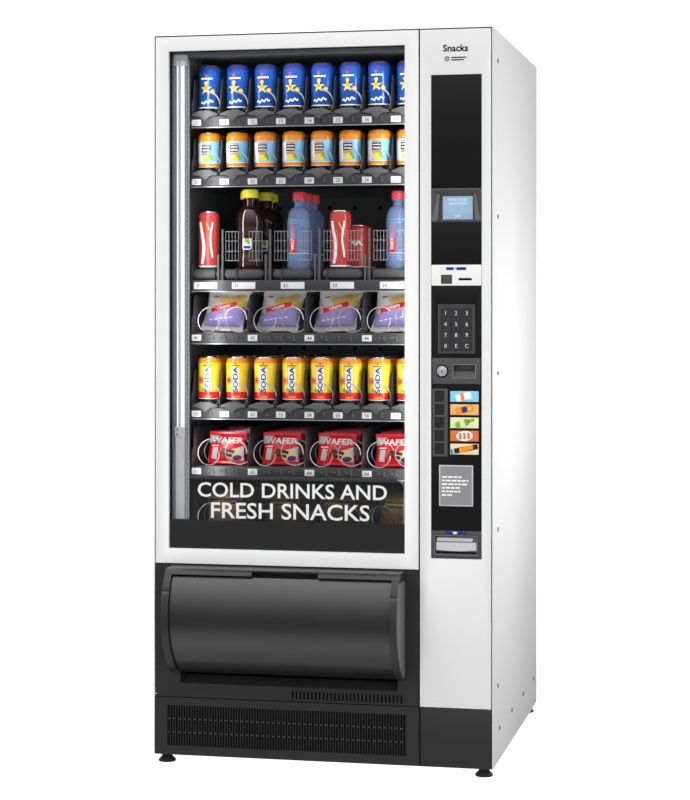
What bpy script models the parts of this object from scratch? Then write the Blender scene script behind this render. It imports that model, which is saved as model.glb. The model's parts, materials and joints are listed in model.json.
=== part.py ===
"""A free-standing snack and drinks vending machine, modelled as separate solids.

Units are metres. Sizes below are in cabinet coordinates: x from the middle of the
cabinet, y back from the front plane of the doors, z up from the floor. The world
origin is the middle of the whole object's footprint, so every y gets FRONT added.
"""
import math

import bmesh
import bpy
from mathutils import Matrix, Vector

# ---------------------------------------------------------------- driving sizes
WIDTH = 0.860
BODY_DEPTH = 0.890
HEIGHT = 1.830
FOOT_HEIGHT = 0.022
SKIN = 0.0018            # folded sheet of the outer casing
FIT = 0.0003             # gap between pieces that touch
HALF = WIDTH / 2

DRUM_Y, DRUM_Z = 0.060, 0.385    # axis of the delivery flap
HOOD_RADIUS = 0.170
FLAP_RADIUS = 0.162
HOOD_REACH = HOOD_RADIUS - DRUM_Y
FRONT = HOOD_REACH - (BODY_DEPTH + HOOD_REACH) / 2

# doors
DOOR_BOTTOM, DOOR_TOP = 0.1685, 1.8255
DOOR_DEPTH = 0.050
GLASS_DOOR = (-0.4258, 0.2464)
COLUMN_DOOR = (0.2500, 0.4256)
COLUMN_BOX_LEFT = 0.2560         # the column door's deep part, clear of the other door's swing
HINGE_X, HINGE_Y = 0.4200, 0.0060
PIN_RADIUS, PIN_HOLE = 0.0020, 0.0023
PIN_TOP, PIN_FOOT = 1.8292, 0.1600
EDGE_ROUND = 0.0025
HINGES = {"glass_door": (-HINGE_X, HINGE_Y), "column_door": (HINGE_X, HINGE_Y)}

# window of the glass door
WINDOW_X, WINDOW_Z = (-0.3915, 0.2120), (0.5410, 1.7900)
FRAME_BOTTOM = 0.5040
REBATE = 0.008

# delivery drum
FASCIA_Z = (0.1685, 0.5015)
CHEEK_LEFT, CHEEK_RIGHT = (-0.3783, -0.3603), (0.1945, 0.2125)
HATCH_X = (CHEEK_LEFT[1], CHEEK_RIGHT[0])
CHEEK_FOOT, CHEEK_SEAM = 0.2365, 0.4480
RECESS_FOOT = 0.2035
HOOD_TOP, HOOD_LIP = 0.4997, 0.4860
HOOD_CORNER, HOOD_DROP = 0.050, 0.010    # where the flat top ends, and the corner's height
MOULD = 0.003
FLAP_TOP, FLAP_FOOT = 36.6, -78.0        # degrees above straight ahead
FLAP_SIDE_GAP = 0.0015

# cooled chamber and trays
CHAMBER_X, CHAMBER_Z = (-0.3850, 0.2360), (0.1900, 1.7900)
CHAMBER_OUT_X, CHAMBER_OUT_Z = (-0.4275, 0.2620), (0.1672, 1.8272)
CHAMBER_Y = (0.056, 0.880)
CHAMBER_BACK = 0.835
TRAY_X, TRAY_Y = (-0.3665, 0.2285), (0.1175, 0.6920)
TRAY_LEVELS = (1.6056, 1.4536, 1.1860, 1.0518, 0.8591, 0.7101, 0.5450)
TRAY_LANES = (8, 8, 5, 4, 8, 4, 4)
TRAY_SHEET = 0.002
TRAY_LIP = 0.0300
TRAY_FLOOR = 0.0255              # the floor's underside above the foot of the lip
TRAY_WALL = 0.045
TRAY_BACK = 0.060
DIVIDER_DROP = 0.010             # lane walls stop this far below the side walls

# spirals of the fourth tray
SPIRAL_Y = (0.1300, 0.6750)
SPIRAL_RADIUS, SPIRAL_WIRE = 0.0325, 0.0020
SPIRAL_GAP = 0.0007              # between the wire and the tray's floor
SPIRAL_APART = 0.0365            # each side of the lane's middle
SPIRAL_TURNS, SPIRAL_STEPS = 9, 12

# column controls
INSERT_X, INSERT_Z = (0.2775, 0.4025), (0.6015, 1.7145)
OPENING_FOOT = 0.5324
BEZEL_Z = (1.3543, 1.4355)
SCREEN_X, SCREEN_Z = (0.3046, 0.3789), (1.3606, 1.4180)
COIN_Z = (1.1994, 1.2501)
KEYPAD_X, KEYPAD_Z = (0.2950, 0.3855), (1.0342, 1.1533)
KEY_PITCH_X, KEY_PITCH_Z = 0.0262, 0.0266
KEY_FIRST = (0.3135, 1.1323)
KEY_SIZE = (0.0244, 0.0248)
KEY_GAP = 0.0004
LOCK_X, LOCK_Z = (0.2808, 0.3992), (0.9593, 1.0225)
LOCK_CENTRE, LOCK_RADIUS = (0.3049, 0.9904), 0.0130
PULL_X, PULL_Z = (0.3328, 0.3865), (0.9748, 1.0059)
RAIL_X, RAIL_Z = (0.2808, 0.3185), (0.7817, 0.9477)
CELL_FIRST = (0.29805, 0.9289)
CELL_PITCH = 0.0321
CELL_SIZE = (0.0225, 0.0264)
CUP_X, CUP_Z = (0.2873, 0.3906), (0.5428, 0.5879)

# kick panels and machinery
KICK_Z = (0.0227, 0.1665)
KICK_GRILLE_X, KICK_PLATE_X = (-0.4278, 0.2475), (0.2511, 0.4278)
BASE_TOP = 0.1665
FAN_CENTRE = (-0.210, 0.090)

# name: (red, green, blue), metallic, roughness
MATERIALS = {
    "white_paint": ((0.86, 0.86, 0.86), 0.0, 0.35),
    "white_frame": ((0.90, 0.90, 0.90), 0.0, 0.30),
    "galvanised": ((0.55, 0.56, 0.57), 0.9, 0.45),
    "chamber_liner": ((0.030, 0.031, 0.034), 0.0, 0.50),
    "tray_coat": ((0.050, 0.050, 0.054), 0.2, 0.42),
    "black_rubber": ((0.02, 0.02, 0.02), 0.0, 0.70),
    "charcoal_paint": ((0.045, 0.045, 0.048), 0.0, 0.45),
    "charcoal_plastic": ((0.050, 0.050, 0.052), 0.0, 0.38),
    "black_gloss": ((0.012, 0.012, 0.013), 0.0, 0.15),
    "clear_glass": ((0.80, 0.86, 0.88), 0.0, 0.03),
    "lamp_cover": ((0.95, 0.97, 1.00), 0.0, 0.20),
    "wire_mesh": ((0.30, 0.30, 0.31), 0.7, 0.40),
    "screen_blue": ((0.45, 0.68, 0.92), 0.0, 0.15),
    "keypad_metal": ((0.08, 0.08, 0.085), 0.6, 0.35),
    "chrome_steel": ((0.75, 0.75, 0.76), 1.0, 0.15),
    "cup_steel": ((0.50, 0.50, 0.52), 1.0, 0.30),
    "spiral_steel": ((0.72, 0.72, 0.73), 1.0, 0.22),
    "machine_black": ((0.03, 0.03, 0.032), 0.2, 0.45),
}


# ---------------------------------------------------------------- mesh helpers
def finished(bm):
    """Turn a bmesh into a mesh with outward faces."""
    bmesh.ops.recalc_face_normals(bm, faces=bm.faces)
    mesh = bpy.data.meshes.new("shape")
    bm.to_mesh(mesh)
    bm.free()
    return mesh


def grown(span, amount):
    """A (low, high) pair moved out by amount at each end."""
    return span[0] - amount, span[1] + amount


def about(centre, size):
    """A (low, high) pair of the given size about its centre."""
    return centre - size / 2, centre + size / 2


def block(x, y, z):
    """A box from three (low, high) pairs."""
    bm = bmesh.new()
    bmesh.ops.create_cube(bm, size=1.0)
    for vert in bm.verts:
        vert.co = Vector(span[side > 0] for span, side in zip((x, y, z), vert.co))
    return finished(bm)


def prism(axis, outline, low, high):
    """Extrude an outline along an axis. The outline's pairs are the other two
    axes in x, y, z order."""
    order = {"x": (2, 0, 1), "y": (0, 2, 1), "z": (0, 1, 2)}[axis]
    bm = bmesh.new()
    verts = []
    for a, b in outline:
        flat = (a, b, low)
        verts.append(bm.verts.new([flat[i] for i in order]))
    face = bm.faces.new(verts)
    made = bmesh.ops.extrude_face_region(bm, geom=[face])
    shift = Vector((high - low) * (name == axis) for name in "xyz")
    bmesh.ops.translate(bm, vec=shift, verts=[v for v in made["geom"] if isinstance(v, bmesh.types.BMVert)])
    return finished(bm)


def circle(centre, radius, sides):
    """Points around a circle."""
    turns = (2 * math.pi * k / sides for k in range(sides))
    return [(centre[0] + radius * math.cos(t), centre[1] + radius * math.sin(t)) for t in turns]


def rod(axis, centre, radius, low, high, sides=12):
    """A round bar along an axis."""
    return prism(axis, circle(centre, radius, sides), low, high)


def drum_point(radius, degrees):
    """(y, z) on a circle about the flap's axis; 0 degrees is straight ahead."""
    turn = math.radians(degrees)
    return DRUM_Y - radius * math.cos(turn), DRUM_Z + radius * math.sin(turn)


def drum_arc(radius, start, end, steps):
    """Points along a circle about the flap's axis."""
    return [drum_point(radius, start + (end - start) * k / steps) for k in range(steps + 1)]


def drum_degrees(radius, z):
    """The angle at which that circle reaches a height, on its front side."""
    return math.degrees(math.asin((z - DRUM_Z) / radius))


def funnel(x0, z0, y0, x1, z1, y1):
    """A tapered block from one rectangle to another."""
    bm = bmesh.new()
    rings = []
    for x, z, y in ((x0, z0, y0), (x1, z1, y1)):
        corners = ((x[0], z[0]), (x[1], z[0]), (x[1], z[1]), (x[0], z[1]))
        rings.append([bm.verts.new((a, y, b)) for a, b in corners])
    bm.faces.new(rings[0])
    bm.faces.new(rings[1])
    for k in range(4):
        nxt = (k + 1) % 4
        bm.faces.new((rings[0][k], rings[0][nxt], rings[1][nxt], rings[1][k]))
    return finished(bm)


def turned(profile, centre, sides):
    """Spin (radius, z) pairs about a vertical axis; the ends lie on the axis."""
    bm = bmesh.new()
    rings = []
    for radius, z in profile:
        ring = [bm.verts.new((px, py, z)) for px, py in circle(centre, radius, sides)]
        rings.append(ring)
    for lower, upper in zip(rings, rings[1:]):
        for k in range(sides):
            nxt = (k + 1) % sides
            bm.faces.new((lower[k], lower[nxt], upper[nxt], upper[k]))
    bm.faces.new(rings[0])
    bm.faces.new(rings[-1])
    return finished(bm)


def coil(centre, radius, wire, start, end, turns, hand):
    """A round wire wound along y; hand is +1 or -1."""
    steps, sides = SPIRAL_STEPS * turns, 5
    bm = bmesh.new()
    rings = []
    for k in range(steps + 1):
        turn = 2 * math.pi * k / SPIRAL_STEPS * hand
        out = Vector((math.cos(turn), 0, math.sin(turn)))
        middle = Vector((centre[0], start + (end - start) * k / steps, centre[1])) + radius * out
        ring = []
        for side in range(sides):
            tilt = 2 * math.pi * side / sides
            offset = out * math.cos(tilt) + Vector((0, math.sin(tilt), 0))
            ring.append(bm.verts.new(middle + wire * offset))
        rings.append(ring)
    for lower, upper in zip(rings, rings[1:]):
        for k in range(sides):
            nxt = (k + 1) % sides
            bm.faces.new((lower[k], lower[nxt], upper[nxt], upper[k]))
    bm.faces.new(rings[0])
    bm.faces.new(rings[-1])
    return finished(bm)


def joined(meshes):
    """Put meshes that don't touch each other into one mesh."""
    bm = bmesh.new()
    for mesh in meshes:
        bm.from_mesh(mesh)
    return finished(bm)


def rounded_plan(x, y, rounded_side):
    """A plan outline whose front corner on the hinge side is rounded."""
    arc = []
    side = x[0] if rounded_side < 0 else x[1]
    middle = (side - rounded_side * EDGE_ROUND, y[0] + EDGE_ROUND)
    for k in range(5):
        turn = math.radians(90 * k / 4)
        arc.append((middle[0] + rounded_side * EDGE_ROUND * math.cos(turn),
                    middle[1] - EDGE_ROUND * math.sin(turn)))
    far = x[1] if rounded_side < 0 else x[0]
    return [(side, y[1]), *arc, (far, y[0]), (far, y[1])]


# ---------------------------------------------------------------- scene helpers
def make_materials():
    for name, (colour, metallic, roughness) in MATERIALS.items():
        material = bpy.data.materials.new(name)
        material.use_nodes = True
        shader = material.node_tree.nodes["Principled BSDF"]
        shader.inputs["Base Color"].default_value = (*colour, 1.0)
        shader.inputs["Metallic"].default_value = metallic
        shader.inputs["Roughness"].default_value = roughness


def pivot(name, x, y, z, parent=None):
    """An empty on a joint's axis, in cabinet coordinates."""
    empty = bpy.data.objects.new(name, None)
    bpy.context.scene.collection.objects.link(empty)
    place = Vector((x, y + FRONT, z))
    empty["place"] = place
    empty.location = place - Vector(parent["place"]) if parent else place
    empty.parent = parent
    return empty


def linked(name, mesh, parent):
    made = bpy.data.objects.new(name, mesh)
    bpy.context.scene.collection.objects.link(made)
    made.parent = parent
    return made


def boolean(node, mesh, operation):
    """Join a shape to a node, or cut it away, with a hidden helper object."""
    helper = linked(f"{node.name}_{operation.lower()}_{len(node.modifiers)}", mesh, node)
    helper.hide_render = True
    helper.display_type = "WIRE"
    change = node.modifiers.new(operation.title(), "BOOLEAN")
    change.operation = operation
    change.solver = "EXACT"
    change.object = helper


def solid(name, material, parent, shapes, cuts=(), added=(), bores=(), origin=None, bevel=0.0):
    """One named solid: the first shape with the others joined to it, less the cuts,
    then with the added shapes joined, less the bores. Its origin is its parent's, or
    a point given in cabinet coordinates."""
    base = Vector(parent["place"])
    place = Vector((origin[0], origin[1] + FRONT, origin[2])) if origin else base
    shift = Matrix.Translation(Vector((0, FRONT, 0)) - place)
    for mesh in (*shapes, *cuts, *added, *bores):
        mesh.transform(shift)
    node = linked(name, shapes[0], parent)
    node.location = place - base
    node.data.name = name
    node.data.materials.append(bpy.data.materials[material])
    steps = (("UNION", shapes[1:]), ("DIFFERENCE", cuts), ("UNION", added), ("DIFFERENCE", bores))
    for operation, meshes in steps:
        for mesh in meshes:
            boolean(node, mesh, operation)
    if bevel:
        edge = node.modifiers.new("Bevel", "BEVEL")
        edge.width = bevel
        edge.segments = 1
        edge.limit_method = "ANGLE"
    node.data.shade_smooth()
    node.data.set_sharp_from_angle(angle=math.radians(32))
    return node


# ---------------------------------------------------------------- cabinet
def outer_shell(cabinet):
    """Both sides and the roof, folded from one sheet."""
    inner = HALF - SKIN
    arch = [(-HALF, FOOT_HEIGHT), (-HALF, HEIGHT), (HALF, HEIGHT), (HALF, FOOT_HEIGHT),
            (inner, FOOT_HEIGHT), (inner, HEIGHT - SKIN), (-inner, HEIGHT - SKIN), (-inner, FOOT_HEIGHT)]
    roof = (HEIGHT - 2 * SKIN, HEIGHT + SKIN)
    holes = [rod("z", (side * HINGE_X, HINGE_Y), PIN_HOLE, *roof) for side in (-1, 1)]
    sheet = prism("y", arch, 0.0, BODY_DEPTH - 0.0035)
    solid("outer_shell", "white_paint", cabinet, [sheet], [joined(holes)])


def back_panel(cabinet):
    """Rear cover with outlet louvres and the recessed mains inlet."""
    sheet = (BODY_DEPTH - 0.003, BODY_DEPTH)
    plate = block((-HALF + SKIN, HALF - SKIN), sheet, (0.024, HEIGHT - 0.004))
    inlet_x, inlet_z = (0.300, 0.350), (0.230, 0.266)
    housing = block(inlet_x, (BODY_DEPTH - 0.030, BODY_DEPTH - 0.002), inlet_z)
    well = block(grown(inlet_x, -0.003), (BODY_DEPTH - 0.018, BODY_DEPTH + 0.001), grown(inlet_z, -0.003))
    slots = [block(about(-0.350 + 0.030 * k, 0.008), grown(sheet, 0.002), (0.050, 0.140)) for k in range(16)]
    solid("back_panel", "galvanised", cabinet, [plate, housing], [well, joined(slots)])


def base_frame(cabinet):
    """Welded tray under the machine with the rail that carries the door pins."""
    out, wall = HALF - 0.0025, 0.003
    rail = (BASE_TOP - 0.009, BASE_TOP)
    foot = FOOT_HEIGHT
    floor = block((-out, out), (0.0022, 0.884), (foot, foot + 0.0025))
    sides = [block((-out, wall - out), (0.0022, 0.884), (foot, BASE_TOP)),
             block((out - wall, out), (0.0022, 0.884), (foot, BASE_TOP))]
    rails = [block((-out, out), depth, rail) for depth in ((0.0022, 0.055), (0.866, 0.884))]
    post = block(about(0.2493, 0.020), (0.0022, 0.0052), (foot, BASE_TOP))
    bore = grown(rail, 0.01)
    holes = [rod("z", (side * HINGE_X, HINGE_Y), PIN_HOLE, *bore) for side in (-1, 1)]
    solid("base_frame", "galvanised", cabinet, [floor, *sides, *rails, post], [joined(holes)])


def feet(cabinet):
    """Four turned rubber feet."""
    profile = [(0.0208, 0.0), (0.022, 0.0012), (0.022, 0.0050), (0.0175, 0.0095),
               (0.0135, 0.0135), (0.0130, FOOT_HEIGHT - FIT)]
    for end, depth in (("front", 0.030), ("rear", 0.850)):
        for name, x in (("left", -0.404), ("right", 0.404)):
            solid(f"foot_{end}_{name}", "black_rubber", cabinet, [turned(profile, (x, depth), 16)])


def kick_panels(cabinet):
    """Slotted intake grille and the plain plate beside it."""
    sheet = (0.0, SKIN)
    slot_z, first, last, count = (0.0457, 0.1470), -0.3938, 0.2137, 90
    pitch = (last - first) / count
    cut = grown(sheet, 0.002)
    slots = [block(about(first + pitch * (k + 0.5), 0.0036), cut, slot_z) for k in range(count)]
    solid("kick_grille", "charcoal_paint", cabinet, [block(KICK_GRILLE_X, sheet, KICK_Z)], [joined(slots)])
    solid("kick_plate", "charcoal_paint", cabinet, [block(KICK_PLATE_X, sheet, KICK_Z)])


def inner_chamber(cabinet):
    """Insulated box, open at the front."""
    walls = block(CHAMBER_OUT_X, CHAMBER_Y, CHAMBER_OUT_Z)
    hollow = block(CHAMBER_X, (0.0, CHAMBER_BACK), CHAMBER_Z)
    solid("inner_chamber", "chamber_liner", cabinet, [walls], [hollow])


def machinery(cabinet):
    """Compressor, condenser with its shroud, fan, and the coin changer."""
    x, y, foot = 0.120, 0.500, FOOT_HEIGHT + 0.003
    pot = [(0.050, foot + 0.002), (0.062, foot + 0.016), (0.062, foot + 0.082), (0.050, foot + 0.104),
           (0.022, foot + 0.114)]
    plate = block(about(x, 0.170), about(y, 0.130), (foot, foot + 0.004))
    solid("compressor", "machine_black", cabinet, [turned(pot, (x, y), 24), plate])

    core = block((-0.330, -0.090), (0.050, 0.079), (0.030, 0.150))
    shroud = block((-0.326, -0.094), (0.078, 0.100), (0.032, 0.148))
    throat = rod("y", FAN_CENTRE, 0.055, 0.080, 0.102, 32)
    solid("condenser", "galvanised", cabinet, [core, shroud], [throat])

    hub = rod("y", FAN_CENTRE, 0.018, 0.083, 0.130, 20)
    blades = []
    for k in range(5):
        blade = block((0.012, 0.050), (-0.0010, 0.0010), (-0.013, 0.013))
        blade.transform(Matrix.Rotation(math.radians(32), 4, "X"))
        blade.transform(Matrix.Rotation(2 * math.pi * k / 5, 4, "Y"))
        blade.transform(Matrix.Translation((FAN_CENTRE[0], 0.091, FAN_CENTRE[1])))
        blades.append(blade)
    solid("condenser_fan", "machine_black", cabinet, [hub, *blades],
          origin=(FAN_CENTRE[0], 0.091, FAN_CENTRE[1]))

    body = block((0.2630, 0.4050), (0.100, 0.190), (0.760, 1.160))
    tubes = [rod("z", (0.2830 + 0.0255 * k, 0.100), 0.011, 0.800, 0.960, 12) for k in range(5)]
    solid("coin_changer", "machine_black", cabinet, [body, joined(tubes)])


# ---------------------------------------------------------------- glass door
def door_frame(door):
    """Window surround with the carrier behind the fascia and both hinge pins."""
    carrier_x, carrier_z = (-0.382, 0.216), (0.198, 0.500)
    carrier_y = (0.014, DOOR_DEPTH)
    surround = prism("z", rounded_plan(GLASS_DOOR, (0.0, DOOR_DEPTH), -1), FRAME_BOTTOM, DOOR_TOP)
    carrier = block(GLASS_DOOR, carrier_y, (DOOR_BOTTOM + 0.0035, FRAME_BOTTOM + 0.002))
    knuckle = block((GLASS_DOOR[0], -0.412), (0.0045, 0.020), (DOOR_BOTTOM + 0.0035, 0.190))
    pins = [rod("z", HINGES["glass_door"], PIN_RADIUS, DOOR_TOP - 0.01, PIN_TOP),
            rod("z", HINGES["glass_door"], PIN_RADIUS, PIN_FOOT, 0.180)]
    window = block(WINDOW_X, (-0.01, DOOR_DEPTH), WINDOW_Z)
    rebate = block(grown(WINDOW_X, REBATE), (0.010, DOOR_DEPTH + 0.01), grown(WINDOW_Z, REBATE))
    hatch = block(carrier_x, (0.0, DOOR_DEPTH + 0.01), carrier_z)
    shapes = [surround, carrier, knuckle, joined(pins)]
    solid("door_frame", "white_frame", door, shapes, [window, rebate, hatch])


def door_fittings(door):
    """Glazing, the lamp beside it, and the mesh screen behind its foot."""
    pane = block(grown(WINDOW_X, REBATE - 0.0005), (0.0105, 0.0185), grown(WINDOW_Z, REBATE - 0.0005))
    solid("door_glass", "clear_glass", door, [pane])

    lamp_x, lamp_y = -0.3760, 0.0390
    tube = rod("z", (lamp_x, lamp_y), 0.0095, 0.572, 1.768, 16)
    caps = [block((-0.3990, -0.3640), (0.0285, 0.0495), z) for z in ((0.556, 0.576), (1.764, 1.784))]
    solid("door_lamp", "lamp_cover", door, [tube, *caps])

    left, right, foot, top, corner = -0.3580, 0.2030, 0.5340, 0.7190, 0.022
    outline = [(left, foot), (right, foot)]
    for side, x in ((1, right - corner), (-1, left + corner)):
        for k in range(5):
            turn = math.radians(90 * (k if side > 0 else 4 - k) / 4)
            outline.append((x + side * corner * math.cos(turn), top - corner + corner * math.sin(turn)))
    solid("banner_screen", "wire_mesh", door, [prism("y", outline, 0.0400, 0.0425)])


def cheek(x):
    """Side plate of the drum: round in front, square behind the fascia."""
    rear = 0.085
    start, end = (drum_degrees(HOOD_RADIUS, z) for z in (CHEEK_SEAM, CHEEK_FOOT))
    outline = [(rear, CHEEK_SEAM), *drum_arc(HOOD_RADIUS, start, end, 20),
               (0.002, CHEEK_FOOT), (0.002, RECESS_FOOT), (rear, RECESS_FOOT)]
    return prism("x", outline, *x)


def delivery_fascia(door):
    """Lower front moulding with the drum's cheeks, the sill and the outlet slots."""
    plate = prism("z", rounded_plan(GLASS_DOOR, (0.0, 0.004), -1), *FASCIA_Z)
    step = [(0.001, 0.2000), (0.001, RECESS_FOOT), (0.046, 0.2190), (0.046, 0.2160), (0.004, 0.2000)]
    sill = prism("x", step, *grown(HATCH_X, 0.001))
    hatch = block(HATCH_X, (-0.01, 0.01), (RECESS_FOOT, 0.4700))
    pitch = 0.00895
    slots = [block(about(-0.0733 + pitch * k, 0.0040), (-0.01, 0.0135), (0.1740, 0.1945)) for k in range(30)]
    pivots = rod("x", (DRUM_Y, DRUM_Z), 0.0053, CHEEK_LEFT[0] - 0.01, CHEEK_RIGHT[1] + 0.01, 16)
    solid("delivery_fascia", "charcoal_plastic", door, [plate], [hatch, joined(slots)],
          added=[cheek(CHEEK_LEFT), cheek(CHEEK_RIGHT), sill], bores=[pivots])


def hood_outline(radius, top, lip):
    """Hood section from its flat top, round the corner and down to the lip."""
    rear = -FIT
    low = drum_degrees(radius, lip)
    high = drum_degrees(radius, top - HOOD_DROP)
    flat = Vector((-HOOD_CORNER, top))
    turn = Vector((-HOOD_CORNER - 0.018, top))
    onto = Vector(drum_point(radius, high))
    corner = []
    for k in range(6):
        t = k / 6
        point = flat * (1 - t) ** 2 + turn * 2 * t * (1 - t) + onto * t ** 2
        corner.append(tuple(point))
    return [(rear, top), *corner, *drum_arc(radius, high, low, 3)]


def delivery_hood(door):
    """Cover over the top of the drum, with the finger notch."""
    outer = hood_outline(HOOD_RADIUS, HOOD_TOP, HOOD_LIP)
    inner = hood_outline(HOOD_RADIUS - MOULD, HOOD_TOP - MOULD, HOOD_LIP)
    cover = prism("x", [*outer, *reversed(inner)], CHEEK_LEFT[0], CHEEK_RIGHT[1])
    seam = CHEEK_SEAM + FIT
    block_outline = [*hood_outline(HOOD_RADIUS, HOOD_TOP, seam), (-FIT, seam)]
    ends = [prism("x", block_outline, *x) for x in (CHEEK_LEFT, CHEEK_RIGHT)]
    notch = block((-0.1566, 0.0105), (-0.120, -0.045), (0.4700, 0.4962))
    solid("delivery_hood", "charcoal_plastic", door, [cover, *ends], [notch])


def delivery_flap(flap):
    """Curved flap with an arm and a pivot stub at each end."""
    x = (HATCH_X[0] + FLAP_SIDE_GAP, HATCH_X[1] - FLAP_SIDE_GAP)
    outer = drum_arc(FLAP_RADIUS, FLAP_TOP, FLAP_FOOT, 30)
    inner = drum_arc(FLAP_RADIUS - MOULD, FLAP_FOOT, FLAP_TOP, 30)
    skin = prism("x", outer + inner, *x)
    arm = [(DRUM_Y, DRUM_Z), *drum_arc(FLAP_RADIUS - 0.001, FLAP_TOP, FLAP_FOOT, 30)]
    parts = []
    for side, edge in ((1, x[0]), (-1, x[1])):
        inside = edge + side * MOULD
        parts.append(prism("x", arm, min(edge, inside), max(edge, inside)))
        parts.append(rod("x", (DRUM_Y, DRUM_Z), 0.012, min(edge, inside), max(edge, inside), 16))
        tip = edge - side * 0.007
        parts.append(rod("x", (DRUM_Y, DRUM_Z), 0.005, min(tip, inside), max(tip, inside), 16))
    solid("delivery_flap", "charcoal_plastic", flap, [skin, *parts])


def delivery_bin(door):
    """Trough that catches what falls, held by two ears on the door."""
    x = (-0.3530, 0.1872)
    wall = 0.0025
    end = [(-0.034, 0.2695), (0.150, 0.2695), (0.150, 0.495), (0.054, 0.495), (0.054, 0.466),
           (-0.045, 0.466), (-0.070, 0.440), (-0.070, 0.330)]
    floor = block(x, (-0.034, 0.150), (0.2695, 0.2695 + wall))
    back = block(x, (0.150 - wall, 0.150), (0.2695, 0.495))
    ends = [prism("x", end, x[0], x[0] + wall), prism("x", end, x[1] - wall, x[1])]
    ear_z, ear_y = (0.4705, 0.4950), (DOOR_DEPTH + 0.0004, 0.0540 + 0.0020)
    ears = [block((-0.392, x[0] + 0.002), ear_y, ear_z), block((x[1] - 0.002, 0.226), ear_y, ear_z)]
    solid("delivery_bin", "charcoal_plastic", door, [floor, back, *ends, *ears])


# ---------------------------------------------------------------- column door
def column_panel(door):
    """White face of the column with a folded box behind it and both hinge pins."""
    face_y = 0.004
    face = prism("z", rounded_plan(COLUMN_DOOR, (0.0, face_y), 1), DOOR_BOTTOM, DOOR_TOP)
    box_x, box_z = (COLUMN_BOX_LEFT, COLUMN_DOOR[1]), (DOOR_BOTTOM + 0.0035, DOOR_TOP - 0.0035)
    box = block(box_x, (face_y - 0.001, 0.045), box_z)
    hollow = block(grown(box_x, -SKIN), (face_y, 0.060), grown(box_z, -0.006))
    opening = block(INSERT_X, (-0.01, 0.020), (OPENING_FOOT, INSERT_Z[1]))
    pins = [rod("z", HINGES["column_door"], PIN_RADIUS, DOOR_TOP - 0.008, PIN_TOP),
            rod("z", HINGES["column_door"], PIN_RADIUS, PIN_FOOT, DOOR_BOTTOM + 0.008)]
    solid("column_panel", "white_paint", door, [face, box, joined(pins)], [hollow, opening])


def control_fascia(door):
    """Black insert with an opening for each control."""
    front_x = grown(INSERT_X, -0.0005)
    wings = grown(INSERT_X, 0.006)
    front = block(front_x, (0.0008, 0.0050), (INSERT_Z[0], INSERT_Z[1] - 0.0005))
    flange = block(wings, (0.0045, 0.0070), (INSERT_Z[0], INSERT_Z[1] + 0.006))
    pockets = [block(grown(front_x, 0.001), (-0.01, 0.0030), grown(z, FIT)) for z in (BEZEL_Z, COIN_Z)]
    holes = [block((0.2850, 0.3950), (-0.01, 0.02), (1.3580, 1.4320)),
             block((0.2850, 0.3950), (-0.01, 0.02), (1.2010, 1.2485)),
             block(grown(KEYPAD_X, FIT), (-0.01, 0.02), grown(KEYPAD_Z, FIT)),
             block(grown(LOCK_X, FIT), (-0.01, 0.02), grown(LOCK_Z, FIT)),
             block(grown(RAIL_X, FIT), (-0.01, 0.02), grown(RAIL_Z, FIT))]
    solid("control_fascia", "black_gloss", door, [front, flange], [joined(pockets), joined(holes)])


def display(door):
    """Deep bezel and the screen at its foot."""
    lip_x = grown(INSERT_X, -0.0008)
    lip = block(lip_x, (0.0004, 0.0027), BEZEL_Z)
    body_x, body_z = (0.2855, 0.3945), (1.3585, 1.4315)
    body = block(body_x, (0.0020, 0.0160), body_z)
    seat_x, seat_z = grown(SCREEN_X, 0.0005), grown(SCREEN_Z, 0.0005)
    mouth = funnel((0.2875, 0.3925), (1.3575, 1.4325), -0.0010, SCREEN_X, grown(SCREEN_Z, -0.0005), 0.0095)
    seat = block(seat_x, (0.0090, 0.0170), seat_z)
    solid("display_bezel", "black_gloss", door, [lip, body], [mouth, seat])
    solid("display_screen", "screen_blue", door, [block(SCREEN_X, (0.0100, 0.0140), SCREEN_Z)])


def coin_plate(door):
    """Coin entry plate with its slot, lamp windows and button well."""
    lip = block(grown(INSERT_X, -0.0008), (0.0004, 0.0027), COIN_Z)
    body = block((0.2855, 0.3945), (0.0020, 0.0120), (1.2015, 1.2480))
    well = block((0.3018, 0.3294), (-0.01, 0.02), (1.2036, 1.2259))
    slot = block((0.3449, 0.3779), (-0.01, 0.02), (1.2120, 1.2177))
    lamps = block((0.3143, 0.3641), (-0.01, 0.0012), (1.2367, 1.2445))
    solid("coin_plate", "white_frame", door, [lip, body], [joined([well, slot, lamps])])
    ramp = [(0.3023, 0.0100), (0.3023, 0.0030), (0.3105, -0.0008), (0.3289, -0.0008), (0.3289, 0.0100)]
    solid("coin_return_button", "charcoal_plastic", door, [prism("z", ramp, 1.2041, 1.2254)],
          origin=(0.3156, 0.0, 1.2147))


def key_centre(column, row):
    return KEY_FIRST[0] + KEY_PITCH_X * column, KEY_FIRST[1] - KEY_PITCH_Z * row


def keypad(door):
    """Metal frame and twelve keys in three columns."""
    names = ("1", "2", "3", "4", "5", "6", "7", "8", "9", "0", "enter", "clear")
    wells = []
    for k, name in enumerate(names):
        x, z = key_centre(k % 3, k // 3)
        wide, high = [size + 2 * KEY_GAP for size in KEY_SIZE]
        wells.append(block(about(x, wide), (-0.01, 0.02), about(z, high)))
        key = block(about(x, KEY_SIZE[0]), (-0.0008, 0.0065), about(z, KEY_SIZE[1]))
        solid(f"key_{name}", "keypad_metal", door, [key], origin=(x, -0.0008, z), bevel=0.0010)
    plate = block(KEYPAD_X, (0.0002, 0.0080), KEYPAD_Z)
    solid("keypad_frame", "keypad_metal", door, [plate], [joined(wells)])


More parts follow.
